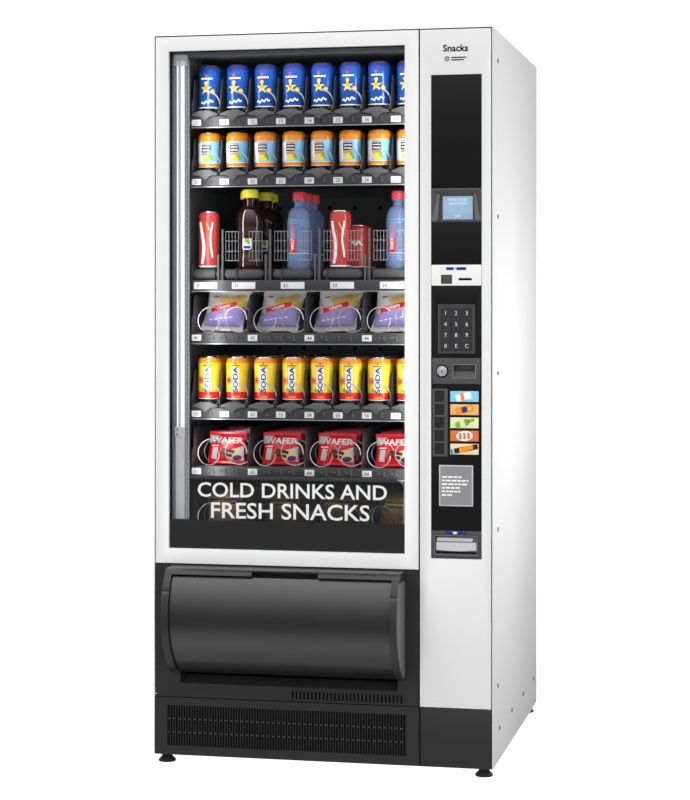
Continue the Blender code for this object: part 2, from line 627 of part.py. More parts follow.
def lock(door):
    """Plate with the pull recess, and the turning lock beside it."""
    plate = block(LOCK_X, (0.0002, 0.0120), LOCK_Z)
    back = block(grown(PULL_X, 0.0030), (0.0110, 0.0300), grown(PULL_Z, 0.0030))
    recess = block(PULL_X, (-0.01, 0.0275), PULL_Z)
    bore = rod("y", LOCK_CENTRE, LOCK_RADIUS + 0.0005, -0.01, 0.02, 24)
    solid("lock_plate", "charcoal_plastic", door, [plate, back], [recess, bore])
    x, z = LOCK_CENTRE
    barrel = rod("y", LOCK_CENTRE, LOCK_RADIUS, -0.0025, 0.0210, 24)
    cam = block((x - 0.026, x), (0.0180, 0.0210), about(z, 0.012))
    keyway = block(about(x, 0.0018), (-0.01, -0.0010), about(z, 0.010))
    solid("lock_cylinder", "chrome_steel", door, [barrel, cam], [keyway], origin=(x, -0.0025, z))


def selection(door):
    """Rail with five push cells, one above the other."""
    wells = []
    x = CELL_FIRST[0]
    for k in range(5):
        z = CELL_FIRST[1] - CELL_PITCH * k
        wide, high = [size + 2 * KEY_GAP for size in CELL_SIZE]
        wells.append(block(about(x, wide), (-0.01, 0.02), about(z, high)))
        cell = block(about(x, CELL_SIZE[0]), (0.0010, 0.0080), about(z, CELL_SIZE[1]))
        solid(f"selection_button_{k + 1}", "black_gloss", door, [cell], origin=(x, 0.0010, z), bevel=0.0007)
    plate = block(RAIL_X, (0.0004, 0.0075), RAIL_Z)
    solid("selection_rail", "charcoal_plastic", door, [plate], [joined(wells)])


def coin_cup(door):
    """Change cup with a rounded floor, and the steel flap hung in its mouth."""
    front = block(grown(INSERT_X, -0.0005), (0.0004, 0.0050), (OPENING_FOOT + 0.0005, INSERT_Z[0] - 0.0008))
    wings = block(grown(INSERT_X, 0.006), (0.0045, 0.0065), (OPENING_FOOT - 0.006, INSERT_Z[0] - 0.0008))
    body = block(grown(CUP_X, 0.0030), (0.0040, 0.0420), (CUP_Z[0] - 0.0030, CUP_Z[1] + 0.0030))
    depth, radius = 0.0390, 0.0170
    floor = []
    for k in range(7):
        turn = math.radians(-30 + 20 * k)
        floor.append((0.0215 + radius * math.sin(turn), CUP_Z[0] + radius * (1 - math.cos(turn))))
    hollow = [(-0.002, floor[0][1]), *floor, (depth, CUP_Z[1]), (-0.002, CUP_Z[1])]
    flap_y, flap_z = 0.0070, CUP_Z[1] - 0.0030
    pins = rod("x", (flap_y, flap_z), 0.0013, CUP_X[0] - 0.0020, CUP_X[1] + 0.0020, 8)
    solid("coin_cup", "black_gloss", door, [front, wings, body], [prism("x", hollow, *CUP_X), pins])
    leaf_x = grown(CUP_X, -0.0010)
    leaf = block(leaf_x, (flap_y - 0.0008, flap_y + 0.0008), (CUP_Z[0] + 0.0065, flap_z))
    barrel = rod("x", (flap_y, flap_z), 0.0010, leaf_x[0] - 0.0022, leaf_x[1] + 0.0022, 8)
    solid("coin_cup_flap", "cup_steel", door, [leaf, barrel], origin=(sum(CUP_X) / 2, flap_y, flap_z))


# ---------------------------------------------------------------- trays
def tray(number, level, lanes, parent):
    """Folded tray: floor and lane walls as one comb, with a lip and a back."""
    left, right = TRAY_X
    under, floor = level + TRAY_FLOOR, level + TRAY_FLOOR + TRAY_SHEET
    top = under + TRAY_WALL
    lane_top = top - DIVIDER_DROP
    outline = [(left + TRAY_SHEET, level), (left + TRAY_SHEET, under), (right - TRAY_SHEET, under),
               (right - TRAY_SHEET, level), (right, level), (right, top), (right - TRAY_SHEET, top),
               (right - TRAY_SHEET, floor)]
    for k in range(lanes - 1, 0, -1):
        low_x, high_x = about(left + (right - left) * k / lanes, TRAY_SHEET)
        outline += [(high_x, floor), (high_x, lane_top), (low_x, lane_top), (low_x, floor)]
    outline += [(left + TRAY_SHEET, floor), (left + TRAY_SHEET, top), (left, top), (left, level)]
    comb = prism("y", outline, TRAY_Y[0] + TRAY_SHEET / 2, TRAY_Y[1] - TRAY_SHEET / 2)
    lip = block(TRAY_X, (TRAY_Y[0], TRAY_Y[0] + TRAY_SHEET), (level, level + TRAY_LIP))
    back = block(TRAY_X, (TRAY_Y[1] - TRAY_SHEET, TRAY_Y[1]), (level, level + TRAY_BACK))
    solid(f"tray_{number}", "tray_coat", parent, [comb, lip, back])


def spirals(parent, level):
    """The matched pair of coils in the first lane of the fourth tray."""
    middle = TRAY_X[0] + (TRAY_X[1] - TRAY_X[0]) / 8
    z = level + TRAY_FLOOR + TRAY_SHEET + SPIRAL_GAP + SPIRAL_WIRE + SPIRAL_RADIUS
    for name, hand in (("left", -1), ("right", 1)):
        x = middle + hand * SPIRAL_APART
        shape = coil((x, z), SPIRAL_RADIUS, SPIRAL_WIRE, *SPIRAL_Y, SPIRAL_TURNS, hand)
        solid(f"spiral_{name}", "spiral_steel", parent, [shape], origin=(x, SPIRAL_Y[0], z))


# ---------------------------------------------------------------- assembly
def build():
    for old in list(bpy.data.objects):
        bpy.data.objects.remove(old)
    make_materials()

    cabinet = pivot("cabinet", 0, 0, 0)
    for make in (outer_shell, back_panel, base_frame, feet, kick_panels, inner_chamber, machinery):
        make(cabinet)

    glass_door = pivot("glass_door", -HINGE_X, HINGE_Y, 0, cabinet)
    for make in (door_frame, door_fittings, delivery_fascia, delivery_hood, delivery_bin):
        make(glass_door)
    delivery_flap(pivot("flap_axis", 0, DRUM_Y, DRUM_Z, glass_door))

    column_door = pivot("column_door", HINGE_X, HINGE_Y, 0, cabinet)
    for make in (column_panel, control_fascia, display, coin_plate, keypad, lock, selection, coin_cup):
        make(column_door)

    for k, (level, lanes) in enumerate(zip(TRAY_LEVELS, TRAY_LANES)):
        slide = pivot(f"tray_slide_{k + 1}", 0, TRAY_Y[0], level, cabinet)
        tray(k + 1, level, lanes, slide)
        if k == 3:
            spirals(slide, level)


build()
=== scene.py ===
"""Looks of the snack vending machine: finer meshes, stock, labels and materials.

Shapes are drawn in cabinet coordinates, as in the CAD model: x from the middle,
depth back from the doors' front plane, z up from the floor. piece() moves them to
the frame. Sizes that CAD already has are read from its boxes.
"""
import json
import math
import random

import bmesh
import bpy
from mathutils import Matrix, Vector, noise


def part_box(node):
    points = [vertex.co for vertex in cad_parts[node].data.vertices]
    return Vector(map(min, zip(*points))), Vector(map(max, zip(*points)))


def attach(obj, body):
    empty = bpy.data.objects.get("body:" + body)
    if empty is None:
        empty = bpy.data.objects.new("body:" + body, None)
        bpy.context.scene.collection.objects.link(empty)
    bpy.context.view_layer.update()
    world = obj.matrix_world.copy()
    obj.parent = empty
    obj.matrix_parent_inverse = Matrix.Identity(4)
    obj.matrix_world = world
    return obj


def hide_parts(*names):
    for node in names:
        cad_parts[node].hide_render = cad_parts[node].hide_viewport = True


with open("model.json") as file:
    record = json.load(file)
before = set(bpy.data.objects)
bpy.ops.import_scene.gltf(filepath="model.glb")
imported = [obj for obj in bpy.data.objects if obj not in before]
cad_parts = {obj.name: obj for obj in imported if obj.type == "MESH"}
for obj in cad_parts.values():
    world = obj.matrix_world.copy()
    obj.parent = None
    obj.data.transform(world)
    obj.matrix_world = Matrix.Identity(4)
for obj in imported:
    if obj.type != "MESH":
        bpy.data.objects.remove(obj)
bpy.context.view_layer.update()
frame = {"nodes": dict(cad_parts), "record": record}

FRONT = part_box("kick_grille")[0][1]      # y of the doors' front plane
scene = bpy.context.scene


# ---------------------------------------------------------------- camera
def make_camera():
    """Level camera to the right of the machine, turned a little left."""
    data = bpy.data.cameras.new("camera")
    data.lens = 93.15
    data.sensor_width = 36.0
    data.shift_y = -0.1152
    camera = bpy.data.objects.new("camera", data)
    camera.location = (1.139, FRONT - 4.993, 1.145)
    camera.rotation_euler = (math.radians(90), 0, math.radians(12.17))
    scene.collection.objects.link(camera)
    scene.camera = camera


make_camera()

# ---------------------------------------------------------------- materials
# name: colour, roughness, then what differs from the defaults of surface()
SURFACES = {
    "casing_white": dict(colour=(0.745, 0.745, 0.745), roughness=0.36, grain=0.05, tone=0.010),
    "frame_white": dict(colour=(0.82, 0.82, 0.82), roughness=0.32, grain=0.04, tone=0.008),
    "zinc": dict(colour=(0.50, 0.51, 0.52), roughness=0.42, metallic=0.85, tone=0.16, tone_scale=38, grain=0.05),
    "chamber": dict(colour=(0.085, 0.085, 0.088), roughness=0.46, tone=0.10, grain=0.05),
    "rubber": dict(colour=(0.012, 0.012, 0.013), roughness=0.72, tone=0.15, grain=0.20, grain_scale=500),
    "charcoal_paint": dict(colour=(0.0260, 0.0260, 0.0270), specular=0.35, roughness=0.44, grain=0.12, tone=0.06,
                           grain_scale=1400),
    "charcoal_plastic": dict(colour=(0.0250, 0.0250, 0.0260), specular=0.45, roughness=0.38, grain=0.10, tone=0.05,
                             grain_scale=1600),
    "flap_plastic": dict(colour=(0.0200, 0.0200, 0.0210), specular=0.90, roughness=0.28, tone=0.02),
    "insert_black": dict(colour=(0.0090, 0.0090, 0.0092), specular=0.20, roughness=0.30, tone=0.05, grain=0.02),
    "bezel_grey": dict(colour=(0.055, 0.055, 0.057), roughness=0.38, tone=0.05, grain=0.08),
    # Grey of the lock plate and selection rail; on the keypad frame's rim it is a painted highlight.
    "lock_grey": dict(colour=(0.070, 0.070, 0.072), specular=0.3, roughness=0.40, tone=0.05, grain=0.10),
    "keypad": dict(colour=(0.050, 0.050, 0.053), specular=0.3, roughness=0.40, metallic=0.2, tone=0.06, grain=0.08),
    "key_face": dict(colour=(0.036, 0.036, 0.038), specular=0.3, roughness=0.40, metallic=0.2, tone=0.06, grain=0.08),
    # Key legends: white print with a faint painted glow.
    "legend": dict(colour=(0.78, 0.78, 0.78), roughness=0.45, tone=0.02, glow=0.05),
    "cell_black": dict(colour=(0.0200, 0.0200, 0.0205), specular=0.3, roughness=0.30, tone=0.06, grain=0.03),
    "white_plastic": dict(colour=(0.80, 0.80, 0.79), roughness=0.32, tone=0.02, grain=0.03),
    # Black for gaps, plugs, chips and print; behind slots, grilles and holes it is painted shade.
    "slot_black": dict(colour=(0.004, 0.004, 0.004), specular=0.05, roughness=0.8, tone=0.05),
    "chrome": dict(colour=(0.74, 0.74, 0.75), roughness=0.13, metallic=1.0, tone=0.05, tone_scale=60),
    "brushed": dict(colour=(0.52, 0.52, 0.54), roughness=0.30, metallic=1.0, tone=0.10, grain=0.10,
                    grain_scale=300, stretch=(0.06, 1, 6)),
    "coil_steel": dict(colour=(0.62, 0.62, 0.63), roughness=0.25, metallic=0.35, specular=0.8, tone=0.06, tone_scale=30),
    "trim_light": dict(colour=(0.42, 0.42, 0.43), roughness=0.30, metallic=0.6, tone=0.06),
    "tray_coat": dict(colour=(0.034, 0.034, 0.037), roughness=0.40, tone=0.08, grain=0.08, coat=0.1),
    "holder": dict(colour=(0.085, 0.085, 0.089), specular=0.35, roughness=0.45, tone=0.07, grain=0.10),
    "divider": dict(colour=(0.030, 0.030, 0.033), roughness=0.34, tone=0.06, grain=0.05),
    "roller": dict(colour=(0.050, 0.050, 0.053), specular=0.3, roughness=0.55, tone=0.10, tone_scale=90, grain=0.25),
    "label_white": dict(colour=(0.60, 0.60, 0.60), roughness=0.45, tone=0.02),
    "label_ink": dict(colour=(0.060, 0.060, 0.062), roughness=0.50, tone=0.02),
    "machine_black": dict(colour=(0.018, 0.018, 0.020), roughness=0.42, tone=0.10, grain=0.12, grain_scale=300),
    "fins": dict(colour=(0.55, 0.56, 0.57), roughness=0.35, metallic=0.9, tone=0.10, tone_scale=30),
    "copper": dict(colour=(0.62, 0.27, 0.14), roughness=0.28, metallic=1.0, tone=0.10, tone_scale=40),
    "board_green": dict(colour=(0.015, 0.11, 0.045), roughness=0.40, tone=0.10, grain=0.05),
    "lamp_glow": dict(colour=(0.70, 0.73, 0.75), roughness=0.35, tone=0.06, tone_scale=60, glow=0.60),
    "lamp_shade": dict(colour=(0.190, 0.210, 0.240), roughness=0.30, metallic=0.1, tone=0.25, tone_scale=12),
    "led_blue": dict(colour=(0.010, 0.012, 0.25), roughness=0.25, tone=0.06, glow=0.10),
    "led_white": dict(colour=(0.30, 0.50, 0.85), roughness=0.25, tone=0.02, glow=0.30),
    "screen_blue": dict(colour=(0.30, 0.44, 0.60), roughness=0.24, tone=0.03, tone_scale=20, glow=0.12),
    "screen_text": dict(colour=(0.70, 0.80, 0.92), roughness=0.30, tone=0.01, glow=0.10),
    "can_silver": dict(colour=(0.66, 0.66, 0.67), roughness=0.24, metallic=1.0, tone=0.05),
    "blue_deep": dict(colour=(0.010, 0.055, 0.36), roughness=0.26, metallic=0.15, tone=0.10, coat=0.5),
    "blue_bright": dict(colour=(0.010, 0.075, 0.34), roughness=0.20, metallic=0.15, coat=0.6, tone=0.10, tone_scale=30),
    "blue_pale": dict(colour=(0.25, 0.60, 0.95), roughness=0.26, metallic=0.0, tone=0.12, tone_scale=30, coat=0.5),
    "print_white": dict(colour=(0.86, 0.86, 0.85), roughness=0.30, tone=0.02, coat=0.3),
    "print_yellow": dict(colour=(0.90, 0.62, 0.03), roughness=0.28, tone=0.08, tone_scale=40, coat=0.4),
    "print_orange": dict(colour=(0.84, 0.27, 0.012), roughness=0.28, tone=0.08, tone_scale=40, coat=0.4),
    "print_red": dict(colour=(0.78, 0.015, 0.018), roughness=0.28, tone=0.08, tone_scale=30, coat=0.5),
    "print_green": dict(colour=(0.20, 0.42, 0.03), roughness=0.30, tone=0.14, tone_scale=60, coat=0.3),
    "print_dark": dict(colour=(0.018, 0.016, 0.022), roughness=0.30, tone=0.06, coat=0.4),
    "print_navy": dict(colour=(0.015, 0.03, 0.20), roughness=0.30, tone=0.06, coat=0.4),
    "foil_cream": dict(colour=(0.72, 0.62, 0.36), roughness=0.30, tone=0.14, tone_scale=60, coat=0.4, grain=0.2,
                       grain_scale=70),
    "foil_lavender": dict(colour=(0.36, 0.28, 0.62), roughness=0.30, tone=0.12, tone_scale=40, coat=0.3),
    "foil_white": dict(colour=(0.62, 0.61, 0.60), roughness=0.28, tone=0.08, tone_scale=40, coat=0.3, grain=0.2,
                       grain_scale=70),
    "foil_red": dict(colour=(0.78, 0.012, 0.028), roughness=0.24, tone=0.08, tone_scale=40, coat=0.5, grain=0.2,
                     grain_scale=70),
    "foil_gold": dict(colour=(0.50, 0.33, 0.08), roughness=0.30, metallic=0.2, tone=0.20, tone_scale=60, grain=0.2,
                      grain_scale=70),
    "biscuit": dict(colour=(0.40, 0.20, 0.075), roughness=0.50, tone=0.20, tone_scale=120),
    "cocoa": dict(colour=(0.075, 0.026, 0.012), roughness=0.40, tone=0.15, tone_scale=80),
    "drink_dark": dict(colour=(0.020, 0.006, 0.004), roughness=0.06, tone=0.10, coat=0.8, specular=0.7),
    "drink_water": dict(colour=(0.22, 0.36, 0.60), roughness=0.05, tone=0.30, tone_scale=45, coat=0.8, specular=0.7),
    "cap_yellow": dict(colour=(0.86, 0.78, 0.05), roughness=0.34, tone=0.05, grain=0.05),
    "cap_red": dict(colour=(0.66, 0.05, 0.07), roughness=0.34, tone=0.05, grain=0.05),
    "card_grey": dict(colour=(0.24, 0.24, 0.25), roughness=0.40, tone=0.03),
    "card_edge": dict(colour=(0.48, 0.48, 0.49), roughness=0.35, tone=0.03),
    "sky_print": dict(colour=(0.22, 0.55, 0.80), roughness=0.30, tone=0.10, tone_scale=70, coat=0.3),
    "peach_print": dict(colour=(0.80, 0.42, 0.16), roughness=0.30, tone=0.10, tone_scale=70, coat=0.3),
    "lime_print": dict(colour=(0.72, 0.72, 0.42), roughness=0.30, tone=0.08, tone_scale=70, coat=0.3),
    "rust_print": dict(colour=(0.66, 0.15, 0.04), roughness=0.30, tone=0.10, tone_scale=70, coat=0.3),
    "cream_print": dict(colour=(0.78, 0.62, 0.36), roughness=0.30, tone=0.08, tone_scale=70, coat=0.3),
    # Lighter grey on the drum cheeks' outer sides: a painted highlight.
    "painted_cheek_highlight": dict(colour=(0.150, 0.150, 0.152), specular=0.4, roughness=0.40, tone=0.05, grain=0.05),
    "key_line": dict(colour=(0.070, 0.070, 0.072), roughness=0.45, tone=0.03),
    "cup_steel": dict(colour=(0.60, 0.60, 0.61), roughness=0.34, metallic=0.15, specular=0.8, tone=0.06, grain=0.10),
    # Lighter grey: the change leaf's own colour and the line under the header trim; on the screen bezel it is a painted
    # highlight.
    "bezel_edge": dict(colour=(0.115, 0.115, 0.117), roughness=0.40, tone=0.05),
    "clip_grey": dict(colour=(0.42, 0.43, 0.45), roughness=0.30, tone=0.10, tone_scale=30),
    "band_black": dict(colour=(0.020, 0.020, 0.021), specular=0.25, roughness=0.30, tone=0.05, grain=0.02),
    "can_red": dict(colour=(0.46, 0.045, 0.040), roughness=0.26, tone=0.06, tone_scale=30),
    "lock_steel": dict(colour=(0.50, 0.50, 0.51), roughness=0.22, metallic=0.35, specular=0.9, tone=0.10),
    "duct_grey": dict(colour=(0.150, 0.150, 0.155), roughness=0.42, tone=0.12, grain=0.05),
    "crisp_gold": dict(colour=(0.62, 0.44, 0.12), roughness=0.40, tone=0.16, tone_scale=90),
    "floor": dict(colour=(1.0, 1.0, 1.0), roughness=0.60, tone=0.002, tone_scale=1.0, glow=1.0),
}


def surface(name, colour, roughness, metallic=0.0, tone=0.05, tone_scale=5.0, grain=0.0,
            grain_scale=900.0, stretch=(1, 1, 1), coat=0.0, specular=0.5, glow=0.0):
    """A Principled material with a slow change of tone and gloss, and a fine grain."""
    material = bpy.data.materials.new(name)
    material.use_nodes = True
    nodes, links = material.node_tree.nodes, material.node_tree.links
    shader = nodes["Principled BSDF"]
    shader.inputs["Metallic"].default_value = metallic
    shader.inputs["Specular IOR Level"].default_value = specular
    if coat:
        shader.inputs["Coat Weight"].default_value = coat
        shader.inputs["Coat Roughness"].default_value = 0.12
    if glow:
        shader.inputs["Emission Color"].default_value = (*colour, 1.0)
        shader.inputs["Emission Strength"].default_value = glow
    place = nodes.new("ShaderNodeTexCoord")
    mapping = nodes.new("ShaderNodeMapping")
    mapping.inputs["Scale"].default_value = stretch
    links.new(place.outputs["Object"], mapping.inputs["Vector"])
    clouds = nodes.new("ShaderNodeTexNoise")
    clouds.inputs["Scale"].default_value = tone_scale
    clouds.inputs["Detail"].default_value = 3.0
    links.new(mapping.outputs["Vector"], clouds.inputs["Vector"])
    shade = nodes.new("ShaderNodeMix")
    shade.data_type = "RGBA"
    for socket, share in ((6, 1 - tone), (7, 1 + tone)):
        shade.inputs[socket].default_value = (*(min(channel * share, 1.0) for channel in colour), 1.0)
    links.new(clouds.outputs["Fac"], shade.inputs[0])
    links.new(shade.outputs[2], shader.inputs["Base Color"])
    gloss = nodes.new("ShaderNodeMapRange")
    gloss.inputs["To Min"].default_value = roughness * 0.85
    gloss.inputs["To Max"].default_value = min(roughness * 1.15, 1.0)
    links.new(clouds.outputs["Fac"], gloss.inputs["Value"])
    links.new(gloss.outputs["Result"], shader.inputs["Roughness"])
    if grain:
        fine = nodes.new("ShaderNodeTexNoise")
        fine.inputs["Scale"].default_value = grain_scale
        links.new(mapping.outputs["Vector"], fine.inputs["Vector"])
        bump = nodes.new("ShaderNodeBump")
        bump.inputs["Strength"].default_value = grain
        bump.inputs["Distance"].default_value = 0.0006
        links.new(fine.outputs["Fac"], bump.inputs["Height"])
        links.new(bump.outputs["Normal"], shader.inputs["Normal"])
    return material


def see_through(name, colour, open_share, roughness, ior):
    """A thin clear or smoked sheet: part of the light goes straight through."""
    material = bpy.data.materials.new(name)
    material.use_nodes = True
    nodes, links = material.node_tree.nodes, material.node_tree.links
    body = nodes["Principled BSDF"]
    body.inputs["Base Color"].default_value = (*colour, 1.0)
    body.inputs["Roughness"].default_value = roughness
    body.inputs["IOR"].default_value = ior
    clear = nodes.new("ShaderNodeBsdfTransparent")
    mix = nodes.new("ShaderNodeMixShader")
    smears = nodes.new("ShaderNodeTexNoise")
    smears.inputs["Scale"].default_value = 7.0
    share = nodes.new("ShaderNodeMapRange")
    share.inputs["To Min"].default_value = 1 - open_share
    share.inputs["To Max"].default_value = (1 - open_share) * 1.3
    links.new(smears.outputs["Fac"], share.inputs["Value"])
    links.new(share.outputs["Result"], mix.inputs["Fac"])
    links.new(clear.outputs["BSDF"], mix.inputs[1])
    links.new(body.outputs["BSDF"], mix.inputs[2])
    links.new(mix.outputs["Shader"], nodes["Material Output"].inputs["Surface"])
    return material


MATERIALS = {name: surface(name, **facts) for name, facts in SURFACES.items()}
MATERIALS["window_glass"] = see_through("window_glass", (0.02, 0.025, 0.025), 0.985, 0.02, 1.45)
MATERIALS["clear_plastic"] = see_through("clear_plastic", (0.62, 0.66, 0.70), 0.62, 0.12, 1.45)
MATERIALS["guard_plastic"] = see_through("guard_plastic", (0.40, 0.42, 0.45), 0.60, 0.15, 1.45)
MATERIALS["water_bottle"] = see_through("water_bottle", (0.22, 0.30, 0.52), 0.55, 0.05, 1.33)
MATERIALS["smoked_mesh"] = see_through("smoked_mesh", (0.022, 0.022, 0.024), 0.60, 0.45, 1.45)


# ---------------------------------------------------------------- shapes
def span(node):
    """A CAD node's (low, high) in x, in depth and in z."""
    low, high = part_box(node)
    return (low[0], high[0]), (low[1] - FRONT, high[1] - FRONT), (low[2], high[2])


def about(centre, size):
    return centre - size / 2, centre + size / 2


def grown(pair, amount):
    return pair[0] - amount, pair[1] + amount


def softened(bm, width, segments=2, angle=30):
    """Round a shape's sharp edges."""
    if width:
        limit = math.radians(angle)
        edges = [e for e in bm.edges if len(e.link_faces) == 2 and e.calc_face_angle(0) > limit]
        bmesh.ops.bevel(bm, geom=edges, offset=width, segments=segments, profile=0.5,
                        affect="EDGES", clamp_overlap=True)
    return bm


def block(x, y, z, soft=0.0):
    bm = bmesh.new()
    bmesh.ops.create_cube(bm, size=1.0)
    for vert in bm.verts:
        vert.co = Vector(pair[side > 0] for pair, side in zip((x, y, z), vert.co))
    return softened(bm, soft)


def prism(axis, outline, low, high, soft=0.0):
    """Extrude an outline along an axis; its pairs are the other two axes in order."""
    order = {"x": (2, 0, 1), "y": (0, 2, 1), "z": (0, 1, 2)}[axis]
    bm = bmesh.new()
    ends = []
    for level in (low, high):
        flats = ((a, b, level) for a, b in outline)
        ends.append([bm.verts.new([flat[i] for i in order]) for flat in flats])
    count = len(outline)
    bm.faces.new(ends[0])
    bm.faces.new(list(reversed(ends[1])))
    for k in range(count):
        nxt = (k + 1) % count
        bm.faces.new((ends[0][nxt], ends[0][k], ends[1][k], ends[1][nxt]))
    bmesh.ops.recalc_face_normals(bm, faces=bm.faces)
    return softened(bm, soft)


def circle(centre, radius, sides, start=0.0):
    turns = (start + 2 * math.pi * k / sides for k in range(sides))
    return [(centre[0] + radius * math.cos(t), centre[1] + radius * math.sin(t)) for t in turns]


def rounded(x, z, radius, steps=5):
    """Outline of a rectangle with round corners."""
    outline = []
    corners = ((x[1], z[1], 0), (x[0], z[1], 90), (x[0], z[0], 180), (x[1], z[0], 270))
    for cx, cz, start in corners:
        mx = cx - math.copysign(radius, cx - sum(x) / 2)
        mz = cz - math.copysign(radius, cz - sum(z) / 2)
        for k in range(steps + 1):
            turn = math.radians(start + 90 * k / steps)
            outline.append((mx + radius * math.cos(turn), mz + radius * math.sin(turn)))
    return outline


def rod(axis, centre, radius, low, high, sides=20, soft=0.0):
    return prism(axis, circle(centre, radius, sides), low, high, soft)


def plate(x, z, radius, front, back, soft=0.0):
    """A flat plate with round corners that faces the front."""
    return prism("y", rounded(x, z, radius), front, back, soft)


def ring_plate(outer, inner, front, back):
    """A flat frame between two outlines with the same number of points."""
    bm = bmesh.new()
    rings = []
    for outline, y in ((outer, front), (inner, front), (inner, back), (outer, back)):
        rings.append([bm.verts.new((a, y, b)) for a, b in outline])
    count = len(outer)
    for here, there in zip(rings, rings[1:] + rings[:1]):
        for k in range(count):
            nxt = (k + 1) % count
            bm.faces.new((here[k], here[nxt], there[nxt], there[k]))
    bmesh.ops.recalc_face_normals(bm, faces=bm.faces)
    return bm


def turned(profile, centre, sides=28, axis="z"):
    """Spin (radius, height) pairs about an upright or, for "y", a level axis."""
    bm = bmesh.new()
    rings = []
    for radius, height in profile:
        points = circle(centre, radius, sides)
        rings.append([bm.verts.new((a, height, b) if axis == "y" else (a, b, height)) for a, b in points])
    for lower, upper in zip(rings, rings[1:]):
        for k in range(sides):
            nxt = (k + 1) % sides
            bm.faces.new((lower[k], lower[nxt], upper[nxt], upper[k]))
    bm.faces.new(rings[0])
    bm.faces.new(rings[-1])
    bmesh.ops.recalc_face_normals(bm, faces=bm.faces)
    return bm


def tube(path, radius, sides=8, closed=False):
    """A round wire along a list of points."""
    points = [Vector(p) for p in path]
    count = len(points)
    bm = bmesh.new()
    rings = []
    side = None
    for k, here in enumerate(points):
        before = points[(k - 1) % count] if closed or k else here
        after = points[(k + 1) % count] if closed or k < count - 1 else here
        along = (after - before).normalized()
        if side is None:
            side = along.orthogonal().normalized()
        side = (side - along * side.dot(along)).normalized()
        other = along.cross(side)
        turns = (2 * math.pi * n / sides for n in range(sides))
        rings.append([bm.verts.new(here + radius * (math.cos(t) * side + math.sin(t) * other)) for t in turns])
    pairs = list(zip(rings, rings[1:]))
    if closed:
        pairs.append((rings[-1], rings[0]))
    else:
        bm.faces.new(rings[0])
        bm.faces.new(rings[-1])
    for near, far in pairs:
        for k in range(sides):
            nxt = (k + 1) % sides
            bm.faces.new((near[k], near[nxt], far[nxt], far[k]))
    bmesh.ops.recalc_face_normals(bm, faces=bm.faces)
    return bm


def lettering(text, height, x, z, front, thick=0.0003, align="CENTER", width=1.0, bold=0.0):
    """Raised letters that face the front, their middle or left end at x."""
    curve = bpy.data.curves.new("letters", "FONT")
    curve.body = text
    curve.size = height / 0.72
    curve.align_x = align
    curve.extrude = thick / 2
    curve.offset = bold
    curve.resolution_u = 3
    holder = bpy.data.objects.new("letters", curve)
    scene.collection.objects.link(holder)
    mesh = holder.to_mesh()
    bm = bmesh.new()
    bm.from_mesh(mesh)
    holder.to_mesh_clear()
    bpy.data.objects.remove(holder)
    bpy.data.curves.remove(curve)
    bmesh.ops.remove_doubles(bm, verts=bm.verts, dist=1e-6)
    for vert in bm.verts:
        a, b, c = vert.co
        vert.co = (x + a * width, front + thick / 2 - c, z + b - height / 2)
    return bm


def moved(bm, dx=0.0, dy=0.0, dz=0.0):
    bmesh.ops.translate(bm, vec=(dx, dy, dz), verts=bm.verts)
    return bm


def turned_about(bm, degrees, axis, centre):
    bmesh.ops.rotate(bm, verts=bm.verts, cent=centre, matrix=Matrix.Rotation(math.radians(degrees), 3, axis))
    return bm


def merged(shapes):
    """Put several shapes into one."""
    whole = bmesh.new()
    for shape in shapes:
        part = bpy.data.meshes.new("part")
        shape.to_mesh(part)
        shape.free()
        whole.from_mesh(part)
        bpy.data.meshes.remove(part)
    return whole


def repeated(bm, shifts):
    """Copies of one shape at several shifts."""
    part = bpy.data.meshes.new("part")
    bm.to_mesh(part)
    bm.free()
    whole = bmesh.new()
    for shift in shifts:
        start = len(whole.verts)
        whole.from_mesh(part)
        whole.verts.ensure_lookup_table()
        bmesh.ops.translate(whole, vec=shift, verts=whole.verts[start:])
    bpy.data.meshes.remove(part)
    return whole


def wrapped(bm, centre, radius, facing=0.0):
    """Bend a flat, front-facing shape round an upright cylinder. Its x = 0 comes
    to the front, turned by facing degrees to the right; its y = 0 to the surface."""
    low = min(vert.co.x for vert in bm.verts)
    high = max(vert.co.x for vert in bm.verts)
    step = 0.0035
    for k in range(math.ceil(low / step), math.floor(high / step) + 1):
        geometry = bm.verts[:] + bm.edges[:] + bm.faces[:]
        bmesh.ops.bisect_plane(bm, geom=geometry, plane_co=(k * step, 0, 0), plane_no=(1, 0, 0), dist=1e-7)
    for vert in bm.verts:
        turn = vert.co.x / radius + math.radians(facing)
        reach = radius - vert.co.y
        vert.co.x = centre[0] + reach * math.sin(turn)
        vert.co.y = centre[1] - reach * math.cos(turn)
    return bm


# ---------------------------------------------------------------- pieces
def piece(name, body, parts, replaces=(), angle=32):
    """Join (shape, material) pairs into one named piece that rides on a body."""
    mesh = bpy.data.meshes.new(name)
    whole = bmesh.new()
    used = []
    for shape, material in parts:
        if material not in used:
            used.append(material)
            mesh.materials.append(MATERIALS[material])
        for face in shape.faces:
            face.material_index = used.index(material)
        part = bpy.data.meshes.new("part")
        shape.to_mesh(part)
        shape.free()
        whole.from_mesh(part)
        bpy.data.meshes.remove(part)
    bmesh.ops.translate(whole, vec=(0, FRONT, 0), verts=whole.verts)
    whole.to_mesh(mesh)
    whole.free()
    mesh.shade_smooth()
    mesh.set_sharp_from_angle(angle=math.radians(angle))
    made = bpy.data.objects.new(name, mesh)
    scene.collection.objects.link(made)
    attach(made, body)
    if replaces:
        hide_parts(*replaces)
    return made


